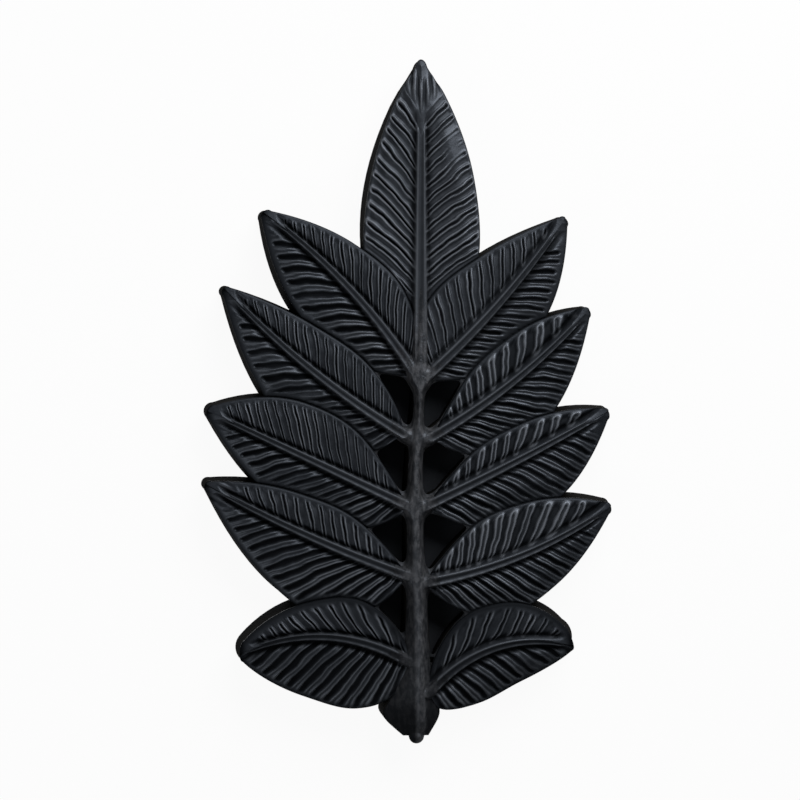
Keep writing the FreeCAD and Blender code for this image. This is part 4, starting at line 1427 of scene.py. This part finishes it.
    def rib_relief(self, points: np.ndarray) -> tuple[np.ndarray, np.ndarray, np.ndarray]:
        """The midribs' roots, shaped as the leaflets' own relief goes on.

        Args:
            points: one point a row.

        Returns:
            Height of the midribs, painted highlight on their two lines and painted shade between them.
        """
        relief = self.relief
        centre, stem_half = self.stem_line(points[:, 1])
        out = np.abs(points[:, 0] - centre) - stem_half
        up = self.above_web(points)
        height, painted_rib_light, painted_shade = (np.zeros(len(points)) for _ in range(3))
        for leaflet in SIDE_LEAFLETS + (TERMINAL,):
            is_top = leaflet is TERMINAL
            _, length, _, _ = self.outline.axes(leaflet)
            mid, along = np.full(len(points), np.inf), np.zeros(len(points))
            reach = length / 2 if is_top else self.branch_length * self.rib_reach
            there = ramp(up, self.top_line_run) if is_top else ramp(out, self.line_run)
            shares = np.linspace(0, reach / length, self.rib_steps)
            for share, place in zip(shares, self.outline.midrib(leaflet, shares)):
                gap = np.hypot(*(points - place).T)
                along = np.where(gap < mid, share, along)
                mid = np.minimum(mid, gap)
            half = leaflet.rib * (relief.ridge_root + (relief.ridge_tip - relief.ridge_root) * along)
            lines = bell(mid / half, relief.line_at, relief.line_width)
            dip = bell(mid / half, 0.0, relief.dip_width)
            start, end = relief.ridge_run
            fall = ease(ramp(mid - half * start, half * (end - start)))
            rise = (1 - fall) * (1 - along * relief.taper) * relief.ridge_rise
            shape = (lines * relief.line_rise - dip * relief.dip_fall) * there
            height = np.maximum(height, rise + shape * (rise > 0))
            light = relief.line_painted_light - along * relief.line_fade
            painted_rib_light = np.maximum(painted_rib_light, lines * there * there * light)
            painted_shade = np.maximum(painted_shade, dip * there * relief.dip_painted_shade)
        sunk = self.sunk * ramp(np.maximum(out / self.branch_length, up / self.top_run))
        return self.face_height + height + self.lift - sunk, painted_rib_light, painted_shade

    def heights(self, points: np.ndarray, whole: np.ndarray, spine: np.ndarray,
                ribs: np.ndarray) -> np.ndarray:
        """Height of the web's upper side.

        Args:
            points: one point a row.
            whole: distance to the web's edge, below zero inside.
            spine: distance to the edge of stem and midribs, below zero inside.
            ribs: height of the midribs' roots.

        Returns:
            One height for each point.
        """
        centre, half = self.stem_line(points[:, 1])
        offset = points[:, 0] - centre
        near_stem = np.exp(-(offset / (half + 5.0)) ** 2)
        near_stem = bell(offset, 0.0, half + self.near_reach)
        fade = 1 - ramp(self.above_web(points), self.crest_run)
        top = self.rib + (self.crest - self.rib) * near_stem * fade
        low = ramp(points[:, 1] + self.outline.half_length, self.end_run)
        width = np.maximum(self.shoulder, half * self.shoulder_share)
        share = ramp(-spine, np.where(near_stem > self.near_least, width, self.shoulder))
        dome = 1 - (1 - share) ** 2
        rise = (top - self.level) * dome * (self.end_rise + (1 - self.end_rise) * low)
        wide = self.flatness(half)
        offset = offset - (self.crest_line - centre) * wide
        lines = sum(deep * bell(offset, at, run) for at, run, deep in self.furrows)
        brow, drop = self.brow
        fallen = self.furrow_depth * lines + drop * (1 - bell(offset, 0.0, brow))
        rise = rise - wide * dome * fallen
        below = 1 - ramp(-whole, self.rim_round)
        rounded = (1 - np.sqrt(ramp(1 - below ** 2))) * self.rim_round
        base = self.level + np.maximum(rise, 0)
        softened = np.maximum(self.join - np.abs(base - ribs), 0) ** 2 / (4 * self.join)
        joined = np.maximum(base, ribs) + softened
        return np.where(ribs > self.face_height + self.rib_least, joined, base) - rounded

    def fields(self, points: np.ndarray) -> tuple[np.ndarray, np.ndarray, np.ndarray]:
        """The web's fields.

        Args:
            points: one point a row.

        Returns:
            Distance to the whole, to stem and midribs, and to the leaflets alone.
        """
        ribs = [self.stem_field(points)] + [self.branch_field(leaf, points) for leaf in SIDE_LEAFLETS]
        leaves = [self.leaflet_field(leaf, points) for leaf in SIDE_LEAFLETS + (TERMINAL,)]
        reach = np.where(points[:, 1] < self.fillet_until, self.end_fillet, self.fillet)
        spine = blend_fields(ribs, reach)
        whole = blend_fields([spine] + leaves, reach * self.leaf_fillet)
        return whole, spine, np.stack(leaves).min(0)

    def shade(self, points: np.ndarray, painted_rib_light: np.ndarray, painted_shade: np.ndarray) -> dict[str, np.ndarray]:
        """Painted shade and painted highlight on the stem, with its darker end.

        Args:
            points: one point a row.
            painted_rib_light: painted highlight on the midribs' lines.
            painted_shade: painted shade between them.

        Returns:
            The values by their attributes' names.
        """
        centre, half = self.stem_line(points[:, 1])
        wide, up = self.flatness(half), self.above_web(points)
        offset = np.abs(points[:, 0] - centre - (self.crest_line - centre) * wide)
        roots = np.stack([self.branch_field(leaf, points) for leaf in SIDE_LEAFLETS]).min(0)
        joint = ramp(self.joint_reach - roots, self.joint_reach) * (1 - wide)
        start, run = self.flank_at
        plain, flat = self.flank_painted_shade
        # painted shade on the flanks beside the crest line
        flank = ramp(offset - start, run) * (plain + flat * wide) * (1 - joint)
        flank = flank * (1 - ramp(up, self.flank_top))
        start, run = self.leave_at
        leaving = ramp(np.abs(points[:, 0] - centre) - half - start, run) * joint
        leaving = (leaving + ramp(up, self.leave_top)) * self.leave_dark
        start, run, share = self.end_dark
        end = ramp(start - points[:, 1], run) * share
        # groove holds the painted shade, the darker end and the midribs' darkening; crest holds the
        # painted highlight
        return {"groove": np.clip(end + flank + leaving + painted_shade, 0, self.most_dark),
                "crest": painted_rib_light * (1 - self.end_painted_light_cut * wide)}

    def make(self, finish: bpy.types.Material) -> bpy.types.Object:
        """Build the web over a fine grid whose edge follows the fields.

        Args:
            finish: the stem's material.

        Returns:
            The finished piece.
        """
        reach = self.outline.half_length
        xs = np.arange(*self.across, self.cell)
        ys = np.arange(-reach - self.margin, (self.stations[0][0] + 0.01) * reach, self.cell)
        grid = np.stack(np.meshgrid(xs, ys), -1).reshape(-1, 2)
        whole, spine, leaves = self.fields(grid)
        down, right = np.gradient(whole.reshape(len(ys), len(xs)), self.cell)
        slope = np.stack([right.ravel(), down.ravel()], 1)
        close_by = np.abs(whole) < self.cell * self.snap
        size = np.maximum((slope ** 2).sum(1), self.least_slope)
        grid = np.where(close_by[:, None], grid - slope * (whole / size)[:, None], grid)
        whole = np.where(close_by, 0.0, whole)
        shown = (leaves > -self.under) & (self.above_web(grid) < 0) | (spine < self.verge)
        usable = (whole <= 0) & shown
        ribs, painted_rib_light, painted_shade = self.rib_relief(grid)
        height = self.heights(grid, whole, spine, ribs)
        number = np.arange(len(grid)).reshape(len(ys), len(xs)).tolist()
        rings = [tuple(k for k in quad if usable[k])
                 for first, second in zip(number, number[1:]) for quad in strip(first, second)]
        used = sorted({k for ring in rings if len(ring) > 2 for k in ring})
        count = len(used)
        renumbered = dict(zip(used, range(count)))
        top = [tuple(renumbered[k] for k in ring) for ring in rings if len(ring) > 2]
        edges = dict.fromkeys(edge for face in top for edge in zip(face, face[1:] + face[:1]))
        walls = [(b, a, a + count, b + count) for a, b in edges if (b, a) not in edges]
        under = [tuple(k + count for k in reversed(face)) for face in top]
        flat = grid[used]
        points = np.vstack([np.column_stack([flat, height[used]]),
                            np.column_stack([flat, np.full(count, self.floor)])]) * MM
        obj = new_object("stem", points, top + under + walls, finish)
        # painted shade and painted highlight for the stem's finish
        shades = self.shade(flat, painted_rib_light[used], painted_shade[used])
        store(obj, {name: np.tile(value, 2) for name, value in shades.items()})
        shade(obj, sharp=55.0)
        return obj


def smooth_through(x: np.ndarray, y: np.ndarray, at: np.ndarray) -> np.ndarray:
    """Smooth curve through known points.

    Args:
        x: known places, rising.
        y: known values.
        at: where the curve is read.

    Returns:
        One value for each place.
    """
    slope = np.gradient(y, x)
    k = np.clip(np.searchsorted(x, at) - 1, 0, len(x) - 2)
    h = x[k + 1] - x[k]
    s = (at - x[k]) / h
    return ((2 * s ** 3 - 3 * s ** 2 + 1) * y[k] + (s ** 3 - 2 * s ** 2 + s) * h * slope[k]
            + (-2 * s ** 3 + 3 * s ** 2) * y[k + 1] + (s ** 3 - s ** 2) * h * slope[k + 1])


# ---------------------------------------------------------------- screws

def islands(node: str) -> list[tuple[Vector, Vector]]:
    """The loose pieces of a construction piece.

    Args:
        node: its name.

    Returns:
        Lowest and highest corner of each, in metres, from left to right.
    """
    work = bmesh.new()
    work.from_mesh(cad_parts[node].data)
    bmesh.ops.remove_doubles(work, verts=work.verts, dist=WELD)
    left, found = set(work.verts), []
    while left:
        group, edge = set(), [left.pop()]
        while edge:
            vertex = edge.pop()
            group.add(vertex)
            for link in vertex.link_edges:
                other = link.other_vert(vertex)
                if other in left:
                    left.remove(other)
                    edge.append(other)
        corners = np.array([v.co for v in group])
        found.append((Vector(corners.min(0)), Vector(corners.max(0))))
    work.free()
    return sorted(found, key=lambda box: tuple(box[0]))


@dataclass
class ScrewSet:
    """Cross-head screws, one where each plain screw of a construction piece stands."""

    node: str
    head_height: float          # mm
    shank_share: float          # shank's radius as a share of the head's
    countersunk: bool = True
    recess_reach: float = 0.6   # half length of the cross as a share of the head's radius
    recess_depth: float = 0.55  # as a share of the head's height
    recess_taper: float = 0.6
    pitch: float = 1.0          # of the thread, mm
    thread_share: float = 0.14  # depth of the thread as a share of the shank's radius
    corners: int = 12           # of the cross; the head has twice as many sides
    rim_share: float = 0.9      # the drive face's radius as a share of the head's
    rim_height: float = 0.1     # mm
    point_share: float = 0.8    # the end's radius as a share of the shank's
    seed: int = 5

    def template(self, radius: float, length: float) -> bpy.types.Object:
        """One screw that stands on its head, its drive face at the origin.

        Args:
            radius: the head's radius, mm.
            length: the whole length, mm.

        Returns:
            The screw.
        """
        shank = radius * self.shank_share
        under = shank if self.countersunk else radius
        rings = [(radius * self.rim_share, 0.0), (radius, self.rim_height), (under, self.head_height)]
        if not self.countersunk:
            rings.append((shank, self.head_height))
        steps = int((length - self.head_height) / self.pitch * 2)
        for i in range(1, steps):
            thin = shank * (1 - self.thread_share * (i % 2))
            rings.append((thin, self.head_height + i * self.pitch / 2))
        rings.append((shank * self.point_share, length))
        corners, count = self.corners, 2 * self.corners
        turn = np.arange(count) / count * 2 * math.pi + math.pi / corners
        points = [np.column_stack([r * np.cos(turn), r * np.sin(turn), np.full(count, z)])
                  for r, z in rings]
        reach = radius * self.recess_reach
        inner = reach * math.sin(math.pi / corners) * math.sqrt(2)
        cross = np.array([inner if i % 3 == 1 else reach for i in range(corners)])
        turn = np.arange(corners) / corners * 2 * math.pi + math.pi / corners
        for share, z in ((1.0, 0.0), (self.recess_taper, self.head_height * self.recess_depth)):
            points.append(np.column_stack([cross * share * np.cos(turn), cross * share * np.sin(turn),
                                           np.full(corners, z)]))
        rows = [list(range(k * count, (k + 1) * count)) for k in range(len(rings))]
        mouth = [len(rings) * count + i for i in range(corners)]
        bottom = [k + corners for k in mouth]
        faces = []
        for first, second in (*zip(rows, rows[1:]), (mouth, bottom)):
            faces += strip(first + first[:1], second + second[:1])
        for i in range(corners):
            faces.append((mouth[i], mouth[(i + 1) % corners], (2 * i + 2) % count, 2 * i + 1, 2 * i))
        faces += [tuple(bottom), tuple(rows[-1])]
        obj = new_object(self.node + "_template", np.vstack(points) * MM, faces)
        close(obj, gap=FINE_WELD)
        shade(obj, sharp=40.0)
        return obj

    def tree(self, finish: bpy.types.Material) -> bpy.types.NodeTree:
        """Write the tree that stands a screw on each point, each turned by chance.

        Args:
            finish: the screws' material.

        Returns:
            The geometry node tree.
        """
        kinds = {"Screw": "Object", "Most Turn": "Float", "Seed": "Int"}
        tree, nodes, given = new_tree("screw_set", kinds)
        screw = nodes.node("GeometryNodeObjectInfo", {"Object": given.outputs["Screw"]})
        turn = nodes.node("FunctionNodeRandomValue", {
            3: given.outputs["Most Turn"], "Seed": given.outputs["Seed"]}, data_type="FLOAT")
        angle = nodes.node("ShaderNodeCombineXYZ", {"Z": turn.outputs[1]})
        placed = nodes.node("GeometryNodeInstanceOnPoints", {
            "Points": given.outputs["Geometry"], "Instance": screw.outputs["Geometry"],
            "Rotation": angle.outputs[0]})
        nodes.give(placed, finish)
        return tree

    def make(self, finish: bpy.types.Material) -> bpy.types.Object:
        """Stand the screws in their places.

        Args:
            finish: their material.

        Returns:
            The finished piece.
        """
        boxes = islands(self.node)
        low, high = boxes[0]
        template = self.template((high.x - low.x) / 2 / MM, (high.z - low.z) / MM)
        feet = [((a.x + b.x) / 2, (a.y + b.y) / 2, a.z) for a, b in boxes]
        obj = new_object(self.node + "_cross", feet, [])
        grow(obj, self.tree(finish), {"Screw": template, "Most Turn": math.pi / 2, "Seed": self.seed})
        bpy.data.objects.remove(template)
        return obj


# ---------------------------------------------------------------- stage

@dataclass
class Studio:
    """Floor, soft lights and a camera that looks almost straight down on the face, in metres."""

    lens: float = 85.0          # mm
    sensor: float = 36.0        # mm
    frame_width: float = 0.4738
    aim: Pair = (-0.0038, -0.0003)
    tilt: float = 4.0           # degrees
    clip: Pair = (0.05, 20.0)
    world_strength: float = 0.1
    floor_gap: float = 0.0002
    floor_reach: float = 6.0
    floor_colour: Triple = (0.8, 0.8, 0.8)
    floor_glow: float = 0.94    # share of white that the camera sees

    def floor(self) -> bpy.types.Object:
        """A pale floor that the camera sees as white.

        Returns:
            The floor.
        """
        z = CAD_BOX[0].z - self.floor_gap
        s = self.floor_reach
        obj = new_object("floor", [(-s, -s, z), (s, -s, z), (s, s, z), (-s, s, z)], [(0, 1, 2, 3)])
        made, nodes = new_material("floor_white")
        path = nodes.node("ShaderNodeLightPath")
        plain = nodes.node("ShaderNodeBsdfDiffuse", {"Color": self.floor_colour})
        glow = nodes.node("ShaderNodeEmission", {"Color": (1.0, 1.0, 1.0), "Strength": 1.0})
        seen = nodes.clamp(nodes.field(path, "Is Camera Ray") + nodes.field(path, "Is Glossy Ray")
                           + nodes.field(path, "Is Transmission Ray"))
        mixed = nodes.mix_shaders(seen * self.floor_glow, plain, glow)
        nodes.node("ShaderNodeOutputMaterial", {"Surface": mixed.outputs[0]})
        obj.data.materials.append(made)
        return obj

    def lamp(self, name: str, place: Triple, size: float, power: float) -> None:
        """A square soft lamp that points at the leaf.

        Args:
            name: its name.
            place: where it hangs, in metres.
            size: length of its side.
            power: its strength in watts.
        """
        data = bpy.data.lights.new(name, "AREA")
        data.size = size
        data.energy = power
        obj = bpy.data.objects.new(name, data)
        obj.location = place
        obj.rotation_euler = (-Vector(place)).to_track_quat("-Z", "Y").to_euler()
        bpy.context.scene.collection.objects.link(obj)

    def world(self) -> None:
        """A dim world that the camera sees as white."""
        world = bpy.data.worlds.new("studio")
        world.use_nodes = True
        world.node_tree.nodes.clear()
        nodes = Nodes(world.node_tree)
        seen = nodes.field(nodes.node("ShaderNodeLightPath"), "Is Camera Ray")
        strength = seen * (1.0 - self.world_strength) + self.world_strength
        soft = nodes.node("ShaderNodeBackground", {
            "Color": (1.0, 1.0, 1.0), "Strength": strength})
        nodes.node("ShaderNodeOutputWorld", {"Surface": soft.outputs[0]})
        bpy.context.scene.world = world

    def camera(self) -> None:
        """A camera that leans a little to one side."""
        data = bpy.data.cameras.new("camera")
        data.lens = self.lens
        data.sensor_width = self.sensor
        data.clip_start, data.clip_end = self.clip
        distance = self.frame_width * self.lens / self.sensor
        lean = math.radians(self.tilt)
        back = Vector((-math.sin(lean), 0.0, math.cos(lean)))
        right = Vector((math.cos(lean), 0.0, math.sin(lean)))
        camera = bpy.data.objects.new("camera", data)
        camera.location = Vector((*self.aim, 0.0)) + back * distance
        camera.rotation_euler = Matrix((right, Vector((0, 1, 0)), back)).transposed().to_euler()
        bpy.context.scene.collection.objects.link(camera)
        bpy.context.scene.camera = camera

    def make(self) -> None:
        """Build the stage."""
        self.floor()
        self.lamp("key_light", place=(0.5, 1.05, 0.85), size=1.2, power=26.0)
        self.lamp("fill_light", place=(-0.8, -0.7, 0.9), size=0.7, power=4.0)
        self.world()
        self.camera()
        bpy.context.scene.view_settings.view_transform = "Standard"


# ---------------------------------------------------------------- build

CARRIED = (
    (COVER_MATT, ("rear_cover", "handle_tray")),
    (INSERT_BRASS, ("tray_inserts",)),
    (ROD_COAT, ("bail_rod",)),
    (GRIP_STIPPLE, ("grip_half_front", "grip_half_back")),
    (BRACKET_BLACK, ("hinge_bracket_left", "hinge_bracket_right")),
    (SPRING_STEEL, ("pivot_washer_left", "pivot_washer_right", "pivot_cap_left", "pivot_cap_right",
                    "snap_clip_left", "snap_clip_right")),
)
SCREWS = (
    (ScrewSet("cover_screws", 1.6, 0.517, seed=5), LEAF_BODY),
    (ScrewSet("tray_screws", 1.6, 0.517, seed=6), LEAF_BODY),
    (ScrewSet("bracket_screws", 1.6, 0.517, seed=7), LEAF_BODY),
    (ScrewSet("grip_screws", 1.25, 0.595, countersunk=False, seed=8), HANDLE_BODY),
)


def dress(node: str, finish: bpy.types.Material) -> None:
    """Give a carried construction piece its finish.

    Args:
        node: the piece's name.
        finish: its material.
    """
    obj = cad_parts[node]
    if not obj.material_slots:
        obj.data.materials.append(finish)
    for item in obj.material_slots:
        item.link = "OBJECT"
        item.material = finish


def mount(obj: bpy.types.Object, body: str, slot: str, *nodes: str) -> None:
    """Fix a piece to a body.

    Args:
        obj: the piece.
        body: the body it moves with.
        slot: the record's material slot; not used.
        nodes: the construction pieces that it stands for.
    """
    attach(obj, body)
    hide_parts(*nodes)
    LOG.info("%s: %d faces, stands for %s", obj.name, len(obj.data.polygons), ", ".join(nodes))


def main() -> None:
    """Build every piece in order."""
    logging.basicConfig(level=logging.INFO, format="%(name)s %(message)s")
    low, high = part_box("leaf_shell")
    outline = Outline((high.x - low.x) / 2 / MM, 200.0)
    satin = LEAF_SATIN.material()
    pieces = VeinedLeaf(outline).make(satin)
    pieces.append(LeafWalls().make(outline, WALL_MATT.material()))
    pieces.append(StemWeb(outline).make(STEM_SATIN.material()))
    for piece in pieces:
        mount(piece, LEAF_BODY, "leaf_plastic", "leaf_shell")
    zinc = SCREW_ZINC.material()
    for screws, body in SCREWS:
        mount(screws.make(zinc), body, "screw_steel", screws.node)
    for finish, nodes in CARRIED:
        made = finish.material()
        for node in nodes:
            dress(node, made)
            LOG.info("%s: %s", node, finish.name)
    Studio().make()


if __name__ == "__main__":
    main()
